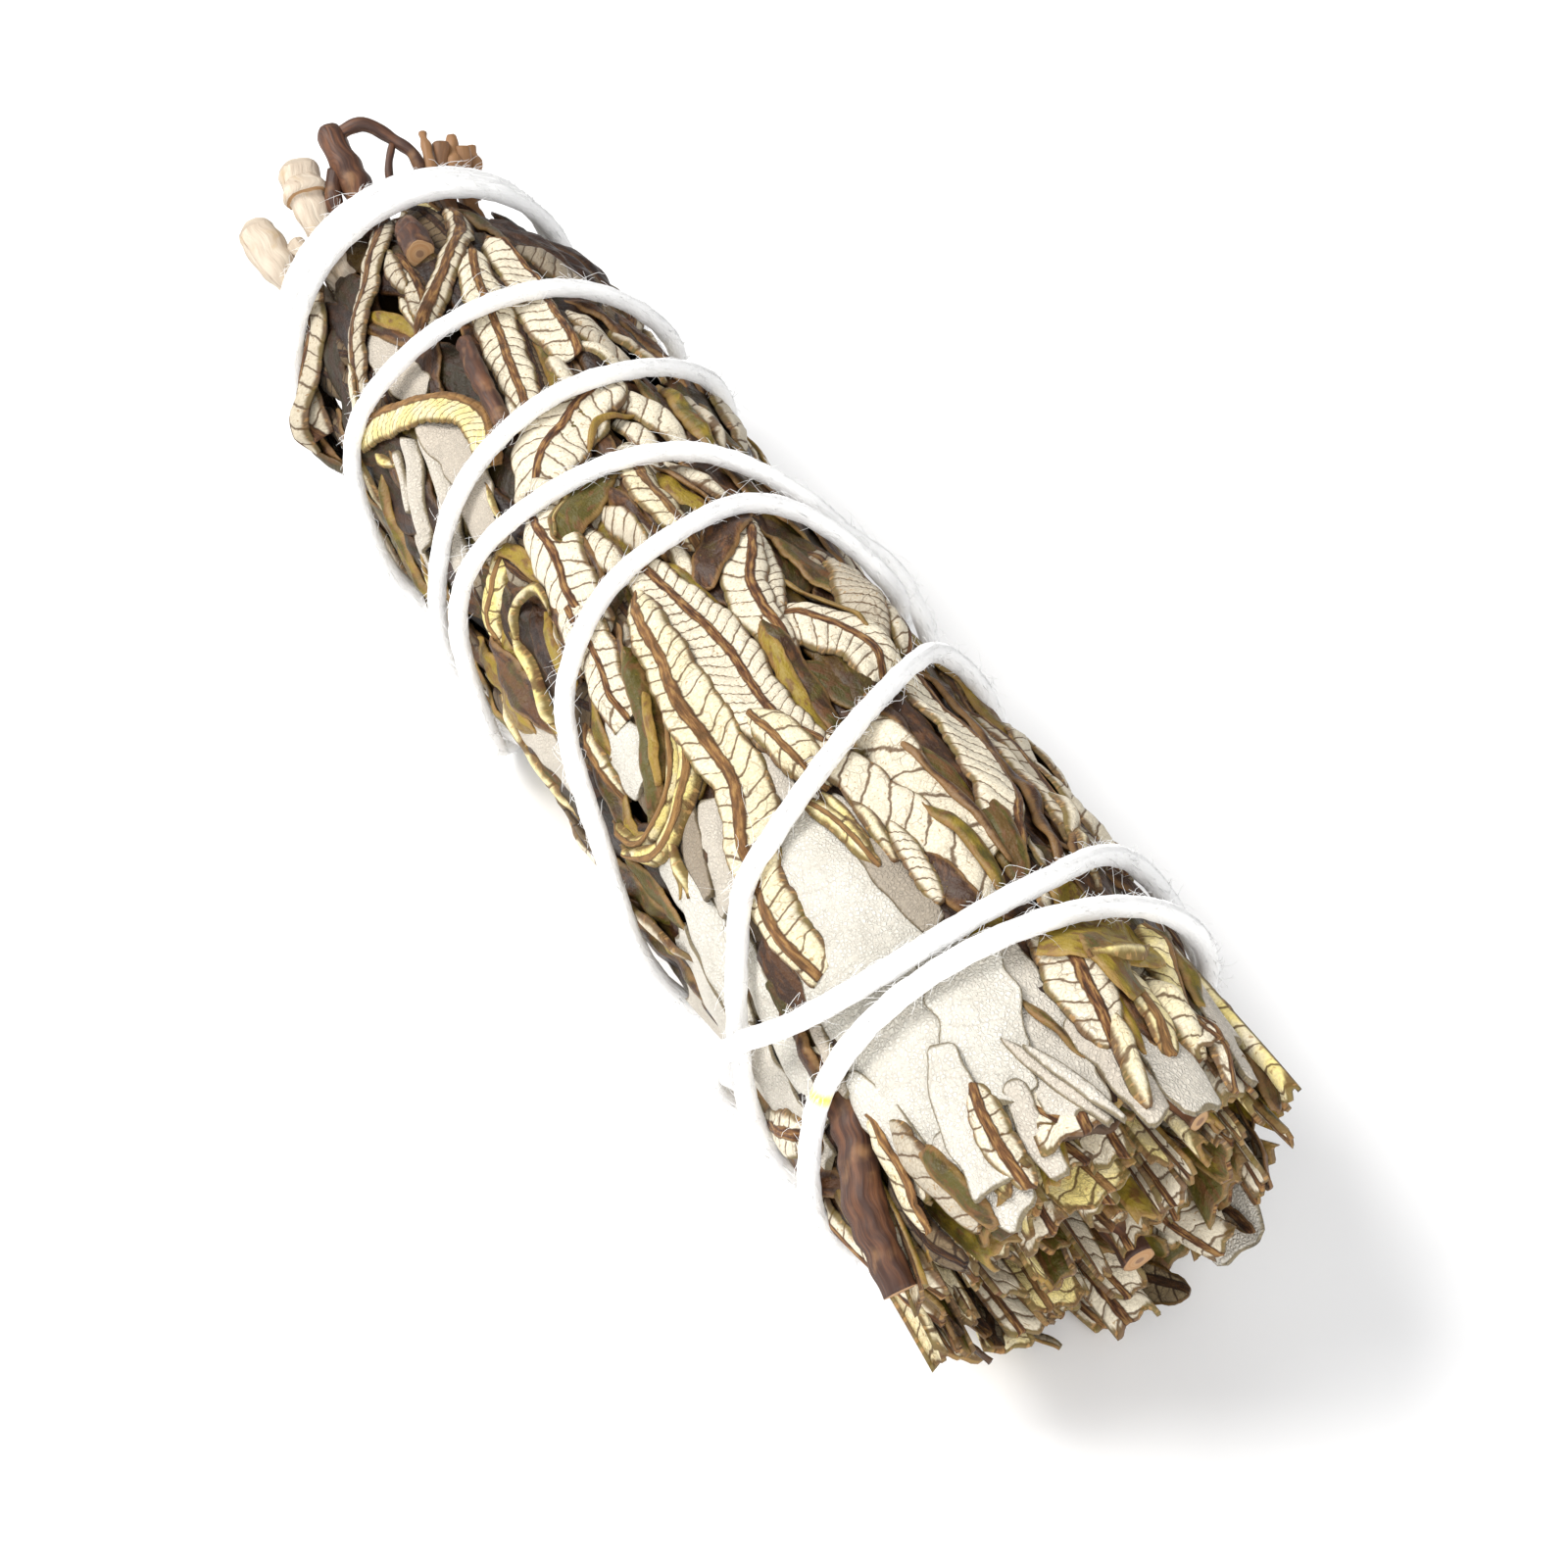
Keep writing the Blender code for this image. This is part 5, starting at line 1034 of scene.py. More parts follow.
     {"rib": 0.0, "rib_wide": 0.5, "crown": 0.6}),
    (OLIVE, 0.1, 2.1, ((39.5, 8.8), (43, 7.6), (47, 6)), {"rib": 1.6}),
    (PALE, 0.6, 1.9, ((36.5, 10.3), (40, 11), (44, 12)), {"spacing": 0.9, "puff": 0.28}),
    (OLIVE, 0.9, 2.8, ((45.5, 13), (47.5, 7), (47.3, 0)), {"rib": 1.6}),
    (OLIVE, 0.2, 2.6, ((45.5, 0), (47.5, -5), (49.5, -10)), {"rib": 1.6}),
    (PALE, 0.5, 1.3, ((44.3, -16), (48, -12.5)), {}),
    (OLIVE, 0.95, 2.5, ((43.8, -21.5), (47.5, -19.5), (51, -18)), {"rib": 1.6}),
    (OLIVE, 0.1, 1.9, ((43, -45), (46, -51), (49, -57)), {"shade": 0.3}),
    (OLIVE, 0.2, 4.0, ((41, -42), (44, -34.5), (48, -26)), {"rib": 1.6, "crown": 0.45}),
    (PALE, 0.8, 0.9, ((40.5, -38.5), (43, -33.5), (47, -29)), {"rise": 0.1}),
    (OLIVE, 0.2, 2.4, ((43, 62.5), (46.5, 66), (50, 70)), {"crown": 0.9, "rib": 1.6}),
    (PALE, 0.05, 3.0, ((54, 55.5), (58.5, 57), (63, 58)), {"rib": 1.6, "shade": 0.35}),
    (PALE, 0.8, 2.4, ((52, 60.5), (55.5, 65), (60, 73)), {"rib": -0.8}),
    (OLIVE, 0.0, 3.0, ((43, 105), (48, 97), (52, 87)), {"shade": 0.3}),
    (PALE, 0.7, 3.4, ((49, 81), (45.5, 92), (43, 101), (41, 110)), {"rib": 0.25, "rib_wide": 1.2}),
    (PALE, 0.75, 2.8, ((52, 79), (57.5, 84), (62.5, 88)), {"rib": 0.2}),
    (OLIVE, 0.6, 2.4, ((51, 92), (57, 95), (62.5, 97)), {}),
    (PALE, 0.5, 2.6, ((49, 100), (56, 103), (62, 106)), {"shade": 0.2}),
    (OLIVE, 0.7, 1.9, ((48.5, -44.5), (52.5, -43), (57, -40)), {"crown": 0.6}),
    (PALE, 0.9, 2.7, ((49.5, -39), (53, -35), (56.5, -30), (60, -26)), {"rib": -0.6, "crown": 0.8}),
    (PALE, 0.8, 2.4, ((54.5, -23.5), (58, -25), (61.5, -26)), {"crown": 0.9, "puff": 0.32, "rib": 1.6}),
    (OLIVE, 0.2, 1.9, ((53.5, -11.5), (56.5, -13), (60, -13)), {"shade": 0.3, "crown": 0.6}),
    (PALE, 0.85, 2.7, ((52.5, -16.5), (57, -17.5), (61, -16)), {"rib": 0.3, "rib_wide": 1.2}),
    (OLIVE, 0.9, 1.1, ((53.5, -9), (57, -9), (60.5, -8)), {"crown": 0.6}),
    (PALE, 0.7, 4.4, ((48, -7), (50.8, -5.5), (53.3, -4.5), (55.8, -2.5), (59.5, -1)),
     {"rib": -0.05, "rib_wide": 1.2}),
    (OLIVE, 0.95, 5.4, ((49.5, -4), (51.7, -13), (52.2, -22), (51, -34)),
     {"rise": 0.2, "ends": (0.85, 0.6), "rib": 1.6, "crown": 0.3}),
    (OLIVE, 0.75, 2.6, ((51.5, -12), (54.8, -11), (57, -14)), {"rise": 0.2, "ends": (0.6, 0.8)}),
    (PALE, 0.95, 0.8, ((53.7, -6), (54.4, -13), (54.2, -20), (53, -28)), {"rise": 0.1}),
    (PALE, 0.8, 1.6, ((57.5, -4.5), (60.5, -2), (64, 0.5)), {"crown": 0.9}),
    (OLIVE, 0.5, 0.9, ((53, 11), (56, 8.5), (59, 6)), {}),
    (PALE, 0.75, 2.6, ((56.5, 33), (60.5, 36), (64, 38)), {"shade": 0.2}),
    (OLIVE, 0.35, 1.8, ((57, 52.5), (60.5, 52), (64, 52)), {}),
    (PALE, 0.7, 2.2, ((57.5, -34), (61, -33), (64, -32)), {"crown": 0.8}),
)
MIDDLE_X = 5.0
top_sheaves = {"butt": new_sheaf(), "cut": new_sheaf()}
for label in top_sheaves:
    top_sheaves[label]["rng"] = random.Random(SEED + 9)
for side, tone, width, line, looks in TOP_LEAVES:
    lay_leaf(top_sheaves["butt" if line[0][0] < MIDDLE_X else "cut"], side, tone, width, line, **looks)
for label, sheaf in top_sheaves.items():
    make_piece("yerba_leaves_top_" + label, sheaf, YERBA, "yerba_leaf", FOLIAGE)

# The leaves that lie on top on the sides that the photograph doesn't show: the same two
# kinds and sizes, spread evenly along and round the bundle
FAR_LEAF_COUNT = 84
FAR_ANGLES = (120, 300)
FAR_START = -55
FAR_LENGTH = 118
FAR_STEP_ALONG = 0.755
FAR_STEP_ROUND = 0.570
FAR_PALE_SHARE = 0.6
far_leaves = new_sheaf()
far_leaves["rng"] = rng = random.Random(SEED + 12)
for k in range(FAR_LEAF_COUNT):
    length = rng.uniform(13, 27)
    x = FAR_START + (FAR_LENGTH - length) * ((k * FAR_STEP_ALONG + 0.2) % 1)
    share = (k * FAR_STEP_ROUND + rng.uniform(0, 0.08)) % 1
    turn = FAR_ANGLES[0] + (FAR_ANGLES[1] - FAR_ANGLES[0]) * share
    slant, bow = rng.uniform(-16, 16), rng.uniform(-9, 9)
    line = (
        (x, turn), (x + length * 0.35, turn + slant * 0.35 + bow),
        (x + length * 0.7, turn + slant * 0.7 + bow), (x + length, turn + slant),
    )
    pale = rng.random() < FAR_PALE_SHARE
    width = rng.uniform(2.4, 5.4) if pale else rng.uniform(1.2, 3.2)
    # Their shade values paint a little shade on them
    lay_leaf(
        far_leaves, PALE if pale else OLIVE, rng.uniform(0.1, 0.95), width, line, fine=0.42,
        rib=rng.choice((-0.55, -0.2, 0.0, 0.0, 0.2, 0.5, HIDDEN_RIB)), shade=rng.uniform(0.1, 0.5),
        rib_wide=rng.uniform(0.8, 1.3), ends=(rng.uniform(0.1, 0.6), rng.uniform(0.1, 0.7)),
    )
make_piece("yerba_leaves_top_far", far_leaves, YERBA, "yerba_leaf", FOLIAGE)

# THE LEAF ENDS
# Both ends of the bundle show leaf ends packed round the stems, pale or olive, where the
# leaves were trimmed. Each is a strip that is curled across and sticks out by its own length.
END_PITCH = 1.15
END_THICKNESS = 0.34
END_ARC = 4.3
END_WIDTHS = (2.8, 5.6)
END_PALE_SHARE = 0.72
END_COLUMNS = 13
END_ROWS = 9


def pack_end(sheaf, root, tips, outermost, spread):
    """Fills one end face with leaf ends in rings round the axis."""
    rng = sheaf["rng"]
    outwards = 1 if tips[1] > root else -1
    for ring in range(1, int(outermost / END_PITCH) + 1):
        radius = ring * END_PITCH
        count = max(1, round(2 * math.pi * radius / END_ARC))
        for k in range(count):
            width = rng.uniform(*END_WIDTHS)
            turn = 360 * (k + rng.uniform(-0.3, 0.3)) / count + 40 * ring
            reach = rng.uniform(*tips)
            n = END_COLUMNS
            s = np.linspace(-0.5, 0.5, n)
            curl = rng.uniform(-0.25, 0.35)
            tight = rng.choice((0.0, 0.5, 1.4, 2.4)) * rng.choice((-1, 1))
            bend = (1 / max(radius, 2.0) + curl) * s * width + tight * (2 * s) ** 3 * 1.1
            heading = rng.uniform(-0.35, 0.35)
            dx = np.cumsum(np.cos(bend + heading)) * width / n
            dy = -np.cumsum(np.sin(bend + heading)) * width / n
            dx, dy = dx - dx[n // 2], dy - dy[n // 2]
            nx, ny = np.sin(bend + heading), np.cos(bend + heading)
            f = np.linspace(0, 1, END_ROWS)
            lean = rng.uniform(-0.25, 0.9) * spread * f**3
            twist = rng.uniform(-14, 14) * f**2
            close = 1 + rng.uniform(-0.35, 0.15) * f**2
            ragged = wander(rng, s * 1.3, 0.35, 3)
            rings = []
            for i in range(END_ROWS):
                across = np.concatenate((dx + nx * END_THICKNESS / 2, (dx - nx * END_THICKNESS / 2)[::-1]))
                out = np.concatenate((dy + ny * END_THICKNESS / 2, (dy - ny * END_THICKNESS / 2)[::-1]))
                x = root + (reach - root) * f[i] + np.concatenate((ragged, ragged[::-1])) * f[i] ** 2
                a = math.radians(turn + twist[i])
                tangent = across * close[i]
                away = radius + lean[i] + out
                y = -(away * math.sin(a) + tangent * math.cos(a))
                z = AXIS_HEIGHT + away * math.cos(a) - tangent * math.sin(a)
                rings.append(np.stack((x - CENTRE_SHIFT, y, np.maximum(z, FLOOR_GAP)), axis=-1) * MM)
            points = np.stack(rings)
            if outwards < 0:
                points = points[::-1]
            side = PALE if rng.random() < END_PALE_SHARE else OLIVE
            slots = np.concatenate((np.full(n, side), np.full(n, rng.choice((PALE, 1 - side)))))
            # The second number is painted shade, kept light at the ends
            tone = (rng.uniform(0.35, 0.95), rng.uniform(0.0, 0.22))
            u = np.tile(np.concatenate((s, s[::-1])) * width + 0.8, (END_ROWS, 1))
            v = np.repeat((f * abs(reach - root))[:, None], 2 * n, axis=1)
            edge = np.tile(np.concatenate((0.5 - np.abs(s), 0.5 - np.abs(s[::-1]))) * width, (END_ROWS, 1))
            edge = 1.6 * np.minimum(edge, (f[::-1] * abs(reach - root))[:, None] * 2.5 + 0.02)
            phase = (v - 0.45 * np.abs(u)) / VEIN_SPACING
            add_rings(
                sheaf, points, slots, np.stack((u, v), axis=-1), np.stack((phase, edge), axis=-1),
                tone, side, True,
            )


cut_end_leaves = new_sheaf()
cut_end_leaves["rng"] = random.Random(SEED + 2)
pack_end(cut_end_leaves, root=50.0, tips=(58.5, 64.0), outermost=14.2, spread=0.9)
butt_leaves = new_sheaf()
butt_leaves["rng"] = random.Random(SEED + 3)
pack_end(butt_leaves, root=-50.0, tips=(-59.8, -56.8), outermost=11.2, spread=0.3)

make_piece("yerba_leaf_cut_ends", cut_end_leaves, YERBA, "yerba_leaf", FOLIAGE)
make_piece("yerba_leaf_butt_ends", butt_leaves, YERBA, "yerba_leaf", FOLIAGE)

# WOODY STEMS AND STALKS
# Red-brown yerba santa twigs and pale rolled sage stalks run through the bundle and stick
# out at the butt. They were cut across with shears, so their ends show light wood.
BARK_DARK = (0.045, 0.016, 0.008)
BARK_RED = (0.150, 0.058, 0.024)
BARK_TAN = (0.33, 0.17, 0.07)
WOOD = (0.42, 0.27, 0.14)
STALK_BEIGE = (0.50, 0.41, 0.32)
STALK_GREY = (0.66, 0.58, 0.47)
STALK_TAN = (0.46, 0.31, 0.14)
PITH = (0.20, 0.11, 0.06)
twig_bark, tree, shader = new_material("twig_bark", 0.6)
chance = uv_parts(tree, "tone")[0]
strips = use_group(tree, mottle, size_mm=0.45, detail=4.0, stretch=7.0)[0]
patches = use_group(tree, mottle, size_mm=2.2, detail=3.0)[0]
body = tint(tree, band(tree, strips, 0.4, 0.75), BARK_DARK, BARK_RED)
body = tint(tree, calc(tree, "MULTIPLY", band(tree, patches, 0.5, 0.75), 0.6), body, BARK_TAN)
body = tint(tree, band(tree, chance, 0.5, 1.0), body, BARK_TAN)
tree.links.new(body, shader.inputs["Base Color"])
add_relief(tree, shader, strips, 0.9, 0.00015)

cut_wood, tree, shader = new_material("cut_wood", 0.8)
from_centre = uv_parts(tree, "leaf")[0]
grain = use_group(tree, mottle, size_mm=0.3, detail=3.0)[0]
body = tint(tree, band(tree, grain, 0.3, 0.7), WOOD, BARK_TAN)
body = tint(tree, band(tree, from_centre, 0.5, 0.25), body, PITH)
tree.links.new(body, shader.inputs["Base Color"])
add_relief(tree, shader, grain, 0.7, 0.0001)

# The dried, felted skin of a sage leaf stalk, with its cracked cap of old bark
stalk_felt, tree, shader = new_material("stalk_felt", 0.9)
ridges = use_group(tree, mottle, size_mm=0.5, detail=3.0, stretch=6.0)[0]
stains = use_group(tree, mottle, size_mm=1.6, detail=3.0)[0]
body = tint(tree, band(tree, ridges, 0.3, 0.75), STALK_BEIGE, STALK_GREY)
body = tint(tree, calc(tree, "MULTIPLY", band(tree, stains, 0.52, 0.75), 0.55), body, STALK_TAN)
body = tint(tree, calc(tree, "MULTIPLY", band(tree, ridges, 0.36, 0.28), 0.6), body, BARK_RED)
tree.links.new(body, shader.inputs["Base Color"])
add_relief(tree, shader, ridges, 0.9, 0.0003)
shader.inputs["Specular IOR Level"].default_value = 0.25

STEM_STEP = 0.35
STEM_SHADE = 0.2


def grow_stem(sheaf, controls, chance, lumps=0.10, sides=18, round_end=False):
    """A twig along (x, angle, distance from the axis, radius), cut flat or worn round."""
    rng = sheaf["rng"]
    line = smooth_line(controls, np.linspace(0, 1, 20 * len(controls)))
    line = even_steps(line, place(line[:, 0], line[:, 1], line[:, 2]), STEM_STEP)
    centre = place(line[:, 0], line[:, 1], line[:, 2])
    along = STEM_STEP * np.arange(len(centre))
    tangent = np.gradient(centre, axis=0)
    tangent /= np.linalg.norm(tangent, axis=1)[:, None]
    sideways = np.cross(tangent, (0.0, 0.12, 1.0))
    sideways /= np.linalg.norm(sideways, axis=1)[:, None]
    upwards = np.cross(sideways, tangent)
    turn = 2 * math.pi * np.arange(sides) / sides
    lumpy = wander(rng, along / 4, lumps, 4)[:, None] * (1 + 0.3 * np.cos(turn))[None, :]
    radius = line[:, 3][:, None] * (1 + lumpy)
    ridges = sum(
        math.cos(k) * np.cos((k + 2) * turn[None, :] + along[:, None] * 0.15 + 5 * rng.random())
        for k in range(4)
    )
    radius = radius * (1 + 0.045 * ridges)
    near_cap = ((0.05, 0.05), (0.55, 0.03), (0.90, 0.0))
    far_cap = near_cap
    if round_end:
        far_cap = ((0.08, 0.62), (0.55, 0.50), (0.90, 0.22))
    rings = [centre[0] - tangent[0] * shift * MM for share, shift in near_cap]
    sizes = [radius[0] * share for share, shift in near_cap]
    axes = [(sideways[0], upwards[0])] * 3
    rings += list(centre)
    sizes += list(radius)
    axes += list(zip(sideways, upwards))
    reach = controls[-1][3] if round_end else 1.0
    rings += [centre[-1] + tangent[-1] * shift * reach * MM for share, shift in reversed(far_cap)]
    sizes += [radius[-1] * share for share, shift in reversed(far_cap)]
    axes += [(sideways[-1], upwards[-1])] * 3
    points = np.stack([
        c[None, :]
        + MM * r[:, None] * (np.cos(turn)[:, None] * a[None, :] + np.sin(turn)[:, None] * b[None, :])
        for c, r, (a, b) in zip(rings, sizes, axes)
    ])
    full = len(rings)
    around = np.array([turn * r for r in sizes])
    v = np.concatenate((np.zeros(3), along, np.full(3, along[-1])))
    leaf = np.stack((around, np.repeat(v[:, None], sides, axis=1)), axis=-1)
    leaf[:3, :, 0] = np.array(sizes[:3])
    leaf[-3:, :, 0] = np.array(sizes[-3:])
    vein = np.stack((leaf[..., 1], np.ones((full, sides))), axis=-1)
    add_rings(sheaf, points, np.zeros(sides, int), leaf, vein, (chance, STEM_SHADE), 1)
    faces = sheaf["slots"][-2].reshape(full - 1, sides)
    faces[:3] = 1
    if not round_end:
        faces[-3:] = 1


STEMS = (
    # name, looks, and (x, angle, distance from the axis, radius) along it
    ("woody_stem_knob", 0.3,
     ((-52, 25, 10.8, 1.2), (-57, 18.5, 11.8, 1.45), (-60, 16.5, 13.5, 1.5), (-63, 15.4, 15.4, 1.35),
      (-65.2, 14.5, 16.2, 1.4))),
    ("woody_stem_stub", 0.5,
     ((-53.4, 7, 11.6, 0.9), (-50.3, 11.2, 13.7, 1.2), (-47, 13, 14.9, 1.3), (-44, 14.8, 15.4, 1.35))),
    ("woody_stem_under_string", 0.1, ((-31, 21, 14.8, 0.8), (-25, 24, 15.9, 0.9), (-18.8, 27, 15.0, 0.8))),
    ("woody_stem_cut_end", 0.2,
     ((45, 62, 14.2, 1.1), (51, 69, 14.6, 1.3), (56, 78, 15.6, 1.4), (61, 87, 15.6, 1.2))),
    ("woody_stem_middle", 0.4, ((50, 210, 5.0, 1.3), (58, 206, 5.2, 1.3), (63, 202, 5.6, 1.2))),
    ("woody_stem_low", 0.6, ((50, 330, 8.6, 0.9), (58, 326, 8.8, 0.9), (62.5, 322, 9.2, 0.8))),
    ("sage_stalk_near", 0.9,
     ((-52, 66, 11.2, 1.4), (-57.4, 65, 11.7, 1.5), (-60.5, 61, 13.8, 1.65), (-64, 56, 15.4, 1.75))),
    ("sage_stalk_middle", 0.9,
     ((-52, 41, 11.0, 1.4), (-57.4, 40, 11.7, 1.5), (-60.5, 36, 13.6, 1.6), (-64.5, 30.5, 15.2, 1.9))),
    ("leaf_stalk_far_1", 0.7, ((-52, -15, 11.4, 0.7), (-57.4, -18, 12.2, 0.75), (-61, -19.5, 15.2, 0.85))),
    ("leaf_stalk_far_2", 0.8, ((-52, -27, 11.4, 0.7), (-57.4, -28, 12.2, 0.8), (-60.5, -27, 15.4, 0.8))),
)
# The arching twig that grows from the knob, its prop, and the fork below it
KNOB_BRANCHES = (
    ((-64.6, 12, 16.2, 0.7), (-64, 4, 16.6, 0.65), (-62, -3.5, 15.4, 0.6), (-60, -8, 14.6, 0.55),
     (-57.8, -9.5, 12.6, 0.5)),
    ((-57.6, 5, 12.2, 0.35), (-59.6, 3, 13.9, 0.35), (-61.8, -2.6, 15.2, 0.35)),
    ((-57.4, 29, 12.0, 0.8), (-59.6, 27, 13.8, 0.85), (-62, 20, 14.6, 0.8)),
)
# The ring of cracked bark that is left round the middle stalk
STALK_COLLAR = ((-61.8, 34.2, 14.2, 1.9), (-62.6, 33, 14.5, 2.1), (-63.4, 32, 14.8, 1.95))
# Leaf stalks and folded leaf ends beside the far ones
FAR_STALKS = (
    ((-57, -21, 12.0, 0.5), (-59.5, -23, 14.0, 0.75), (-62, -25, 15.6, 0.55)),
    ((-57, -12, 12.2, 0.4), (-60, -13.5, 14.6, 0.55), (-62.6, -15, 15.4, 0.4)),
    ((-57, -33, 12.2, 0.5), (-59.5, -34, 13.8, 0.8), (-61.8, -33, 15.0, 0.5)),
)
# The small stalk beside the near ones
SMALL_STALK = ((-52, 50, 10.0, 0.8), (-57.4, 51, 11.3, 0.9), (-61, 52.3, 12.8, 0.95))
for k, (name, chance, controls) in enumerate(STEMS):
    sheaf = new_sheaf()
    sheaf["rng"] = random.Random(SEED + 20 + k)
    stalk = name.startswith("sage_stalk")
    grow_stem(sheaf, controls, chance, round_end=stalk or name == "woody_stem_knob")
    if name == "woody_stem_knob":
        for branch in KNOB_BRANCHES:
            grow_stem(sheaf, branch, chance, sides=12)
    if name == "leaf_stalk_far_1":
        for stalk_line in FAR_STALKS:
            grow_stem(sheaf, stalk_line, 0.85, lumps=0.3, sides=10)
    if name == "sage_stalk_middle":
        grow_stem(sheaf, STALK_COLLAR, chance, lumps=0.2)
    make_piece(name + "_bark", sheaf, (stalk_felt if stalk else twig_bark, cut_wood), "stem_wood", name)
sheaf = new_sheaf()
sheaf["rng"] = random.Random(SEED + 39)
grow_stem(sheaf, SMALL_STALK, 0.9, round_end=True)
make_piece("sage_stalk_small", sheaf, (stalk_felt, cut_wood), "stem_wood")

# THE COTTON STRING
# Soft white cotton, three loose plies twisted together, with short fibres standing off
# all along it. It is pulled snug, not tight, and its free end lies at the back.
PLIES = 3
PLY_PITCH = 8.0
STRING_TAPER = 2.0
STRING_SIDES = 12
STRING_WHITE = (0.985, 0.983, 0.975)
STRING_SHADE_GREY = (0.95, 0.947, 0.935)
STAIN_YELLOW = (0.90, 0.76, 0.12)
# Where the yellow stain lies, in mm along the string, and half its length
STAIN_PLACE = 767.5
STAIN_HALF_LENGTH = 0.9
cotton_string, tree, shader = new_material("cotton_string", 0.95)
along_mm = uv_parts(tree, "leaf")[1]
depth = uv_parts(tree, "vein")[1]
fluff = use_group(tree, mottle, size_mm=0.16, detail=3.0, stretch=3.0)[0]
soft = use_group(tree, mottle, size_mm=1.6, detail=2.0)[0]
# Painted shade: grey in the grooves between the plies, and in soft flecks over the fluff
body = tint(tree, band(tree, depth, 0.35, 0.0), STRING_WHITE, STRING_SHADE_GREY)
body = tint(tree, calc(tree, "MULTIPLY", band(tree, fluff, 0.55, 0.8), 0.25), body, STRING_SHADE_GREY)
from_stain = calc(tree, "ABSOLUTE", calc(tree, "SUBTRACT", along_mm, STAIN_PLACE))
stained = calc(tree, "MULTIPLY", band(tree, from_stain, STAIN_HALF_LENGTH, 0.0), band(tree, fluff, 0.25, 0.5))
body = tint(tree, stained, body, STAIN_YELLOW)
tree.links.new(body, shader.inputs["Base Color"])
relief = calc(tree, "ADD", calc(tree, "MULTIPLY", fluff, 1.0), calc(tree, "MULTIPLY", soft, 0.6))
add_relief(tree, shader, relief, 0.7, 0.00016)
shader.inputs["Subsurface Weight"].default_value = 0.6
shader.inputs["Subsurface Radius"].default_value = (1.0, 1.0, 1.0)
shader.inputs["Subsurface Scale"].default_value = 0.0008
shader.inputs["Sheen Weight"].default_value = 0.9
shader.inputs["Specular IOR Level"].default_value = 0.15

string = new_sheaf()
tangent = np.gradient(string_centre, axis=0)
tangent /= np.linalg.norm(tangent, axis=1)[:, None]
turn = np.radians(string_line[:, 1])
outwards = np.stack((0 * turn, -np.sin(turn), np.cos(turn)), axis=1)
outwards -= tangent * np.sum(outwards * tangent, axis=1)[:, None]
outwards /= np.linalg.norm(outwards, axis=1)[:, None]
sideways = np.cross(tangent, outwards)
string_mm = STRING_STEP * np.arange(len(string_centre))
around = 2 * math.pi * np.arange(STRING_SIDES) / STRING_SIDES
ply_turn = PLIES / 2 * (around[None, :] - 2 * math.pi * string_mm[:, None] / PLY_PITCH)
ply_round = np.abs(np.cos(ply_turn))
rng = random.Random(SEED + 40)
thick = 1 + wander(rng, string_mm / 9, 0.035, 4) + wander(rng, string_mm / 2.1, 0.02, 3)
radius = STRING_RADIUS * thick[:, None] * (0.93 + 0.08 * ply_round**0.7)
for end in (0, -1):
    taper = np.clip(np.abs(string_mm - string_mm[end]) / STRING_TAPER, 0.35, 1.0)
    radius = radius * taper[:, None]
points = string_centre[:, None, :] + MM * radius[..., None] * (
    np.cos(around)[None, :, None] * outwards[:, None, :]
    + np.sin(around)[None, :, None] * sideways[:, None, :]
)
round_mm = np.tile(around * STRING_RADIUS, (len(string_mm), 1))
leaf = np.stack((round_mm, np.repeat(string_mm[:, None], STRING_SIDES, axis=1)), axis=-1)
add_rings(
    string, points, np.zeros(STRING_SIDES, int), leaf, np.stack((ply_turn, ply_round), axis=-1),
    (0.5, 0.0), 0,
)
make_piece("string_plies", string, (cotton_string,), "cotton", "cotton_string")

# Loose fibres that stand off the string: how many, the shortest and longest in mm, points
# along one, how far it stands off for its length, and its waviness
FIBRES = ((4700, 0.5, 1.25, 3, 0.9, 0.5), (1500, 0.9, 2.2, 4, 0.5, 0.9), (170, 2.5, 5.5, 9, 0.35, 1.6))
FIBRE_RADIUS = 0.032
FIBRE_SPREAD = 2.2
FIBRE_CURL = 0.7
fibres = new_sheaf()
corner = 2 * math.pi * np.arange(3) / 3
for count, shortest, longest, rows, stand, waves in FIBRES:
    f = np.linspace(0, 1, rows)[:, None]
    for _ in range(count):
        i = rng.randrange(4, len(string_centre) - 4)
        a = rng.uniform(-FIBRE_SPREAD, FIBRE_SPREAD)
        away = math.cos(a) * outwards[i] + math.sin(a) * sideways[i]
        run = tangent[i] * rng.choice((-1, 1))
        length = rng.uniform(shortest, longest)
        lift = stand * rng.uniform(0.2, 1.5)
        side = np.cross(away, run)
        curl = rng.uniform(-FIBRE_CURL, FIBRE_CURL) * f**2
        curl = curl + 0.12 * waves * np.sin(f * rng.uniform(3, 5) * waves + 6 * rng.random()) * f
        path = string_centre[i] + MM * (
            away * (STRING_RADIUS * 0.9 + length * lift * f * (1.2 - 0.6 * f))
            + run * length * f * (1 - 0.2 * f) + side * length * curl
        )
        path[:, 2] = np.maximum(path[:, 2], 0.03 * MM)
        size = MM * FIBRE_RADIUS * (1.15 - 0.7 * f)
        points = path[:, None, :] + size[..., None] * (
            np.cos(corner)[None, :, None] * away[None, None, :]
            + np.sin(corner)[None, :, None] * side[None, None, :]
        )
        add_rings(
            fibres, points, np.zeros(3, int), np.zeros((rows, 3, 2)), np.ones((rows, 3, 2)), (0.5, 0.0), 0,
        )
make_piece("string_fibres", fibres, (cotton_string,), "cotton", "cotton_string")

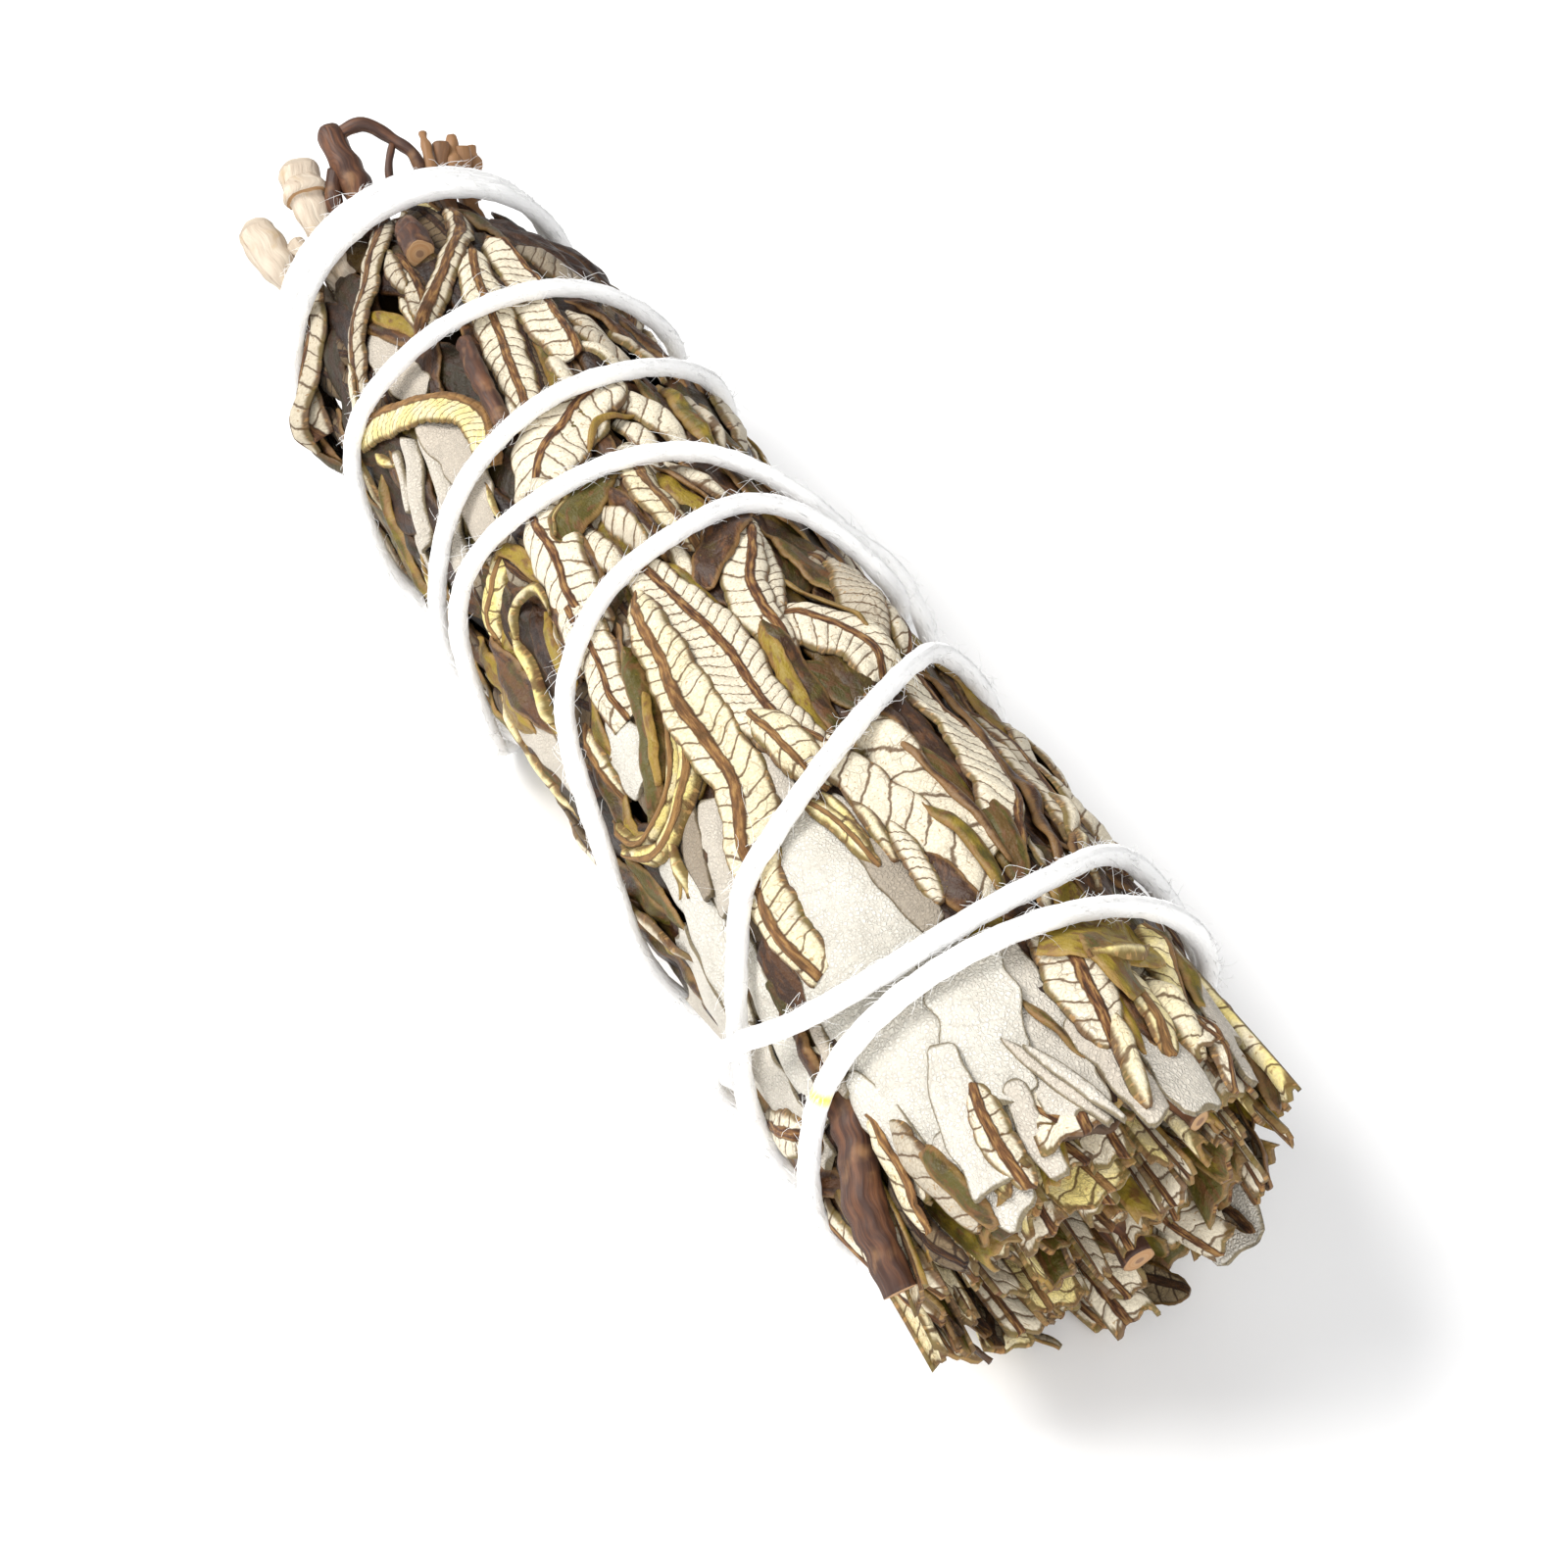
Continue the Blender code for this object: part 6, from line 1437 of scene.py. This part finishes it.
# THE TABLE, THE LIGHT AND THE CAMERA
# A pale matt table top in soft daylight from a large window on the left, with a white
# board on the right that lights the cut end.
FLOOR_SIZE = 3.0
FLOOR_WHITE = (0.95, 0.95, 0.955, 1.0)
DAYLIGHT = (0.97, 0.985, 1.0, 1.0)
DAYLIGHT_STRENGTH = 0.50
LIGHT_AIM = (0.01, 0.0, 0.015)
bpy.ops.mesh.primitive_plane_add(size=FLOOR_SIZE)
floor = bpy.context.active_object
floor.name = "table_top"
floor_paint, tree, shader = new_material("table_top", 0.7)
shader.inputs["Base Color"].default_value = FLOOR_WHITE
floor.data.materials.append(floor_paint)

world = bpy.data.worlds.new("daylight")
world.use_nodes = True
world.node_tree.nodes["Background"].inputs["Color"].default_value = DAYLIGHT
world.node_tree.nodes["Background"].inputs["Strength"].default_value = DAYLIGHT_STRENGTH
bpy.context.scene.world = world


def add_soft_light(name, place_m, size, watts, colour):
    """A square, evenly lit pane that faces the bundle."""
    light = bpy.data.lights.new(name, "AREA")
    light.size = size
    light.energy = watts
    light.color = colour
    lamp = bpy.data.objects.new(name, light)
    bpy.context.scene.collection.objects.link(lamp)
    aim = np.array(LIGHT_AIM) - np.array(place_m)
    lamp.location = place_m
    lamp.rotation_mode = "QUATERNION"
    lamp.rotation_quaternion = Vector(aim).to_track_quat("-Z", "Y")


add_soft_light("window", place_m=(-0.30, -0.42, 0.62), size=0.40, watts=7.2, colour=(1.0, 0.985, 0.96))
add_soft_light("white_board", place_m=(0.42, -0.12, 0.22), size=0.50, watts=2.1, colour=(1.0, 0.99, 0.98))

TARGET = (0.01675, 0.0, 0.01545)
AZIMUTH = math.radians(61.8)
ELEVATION = math.radians(44.7)
DISTANCE = 0.1971
LENS_MM = 58.5
SENSOR_MM = 36.0
camera_data = bpy.data.cameras.new("camera")
camera_data.lens = LENS_MM
camera_data.sensor_width = SENSOR_MM
camera_data.clip_start = 0.01
camera = bpy.data.objects.new("camera", camera_data)
bpy.context.scene.collection.objects.link(camera)
back = Vector((
    math.sin(AZIMUTH) * math.cos(ELEVATION), -math.cos(AZIMUTH) * math.cos(ELEVATION), math.sin(ELEVATION),
))
camera.location = Vector(TARGET) + back * DISTANCE
camera.rotation_mode = "QUATERNION"
camera.rotation_quaternion = (-back).to_track_quat("-Z", "Y")
bpy.context.scene.camera = camera

view = bpy.context.scene.view_settings
view.view_transform = "Standard"
view.look = "None"
view.exposure = 0.0
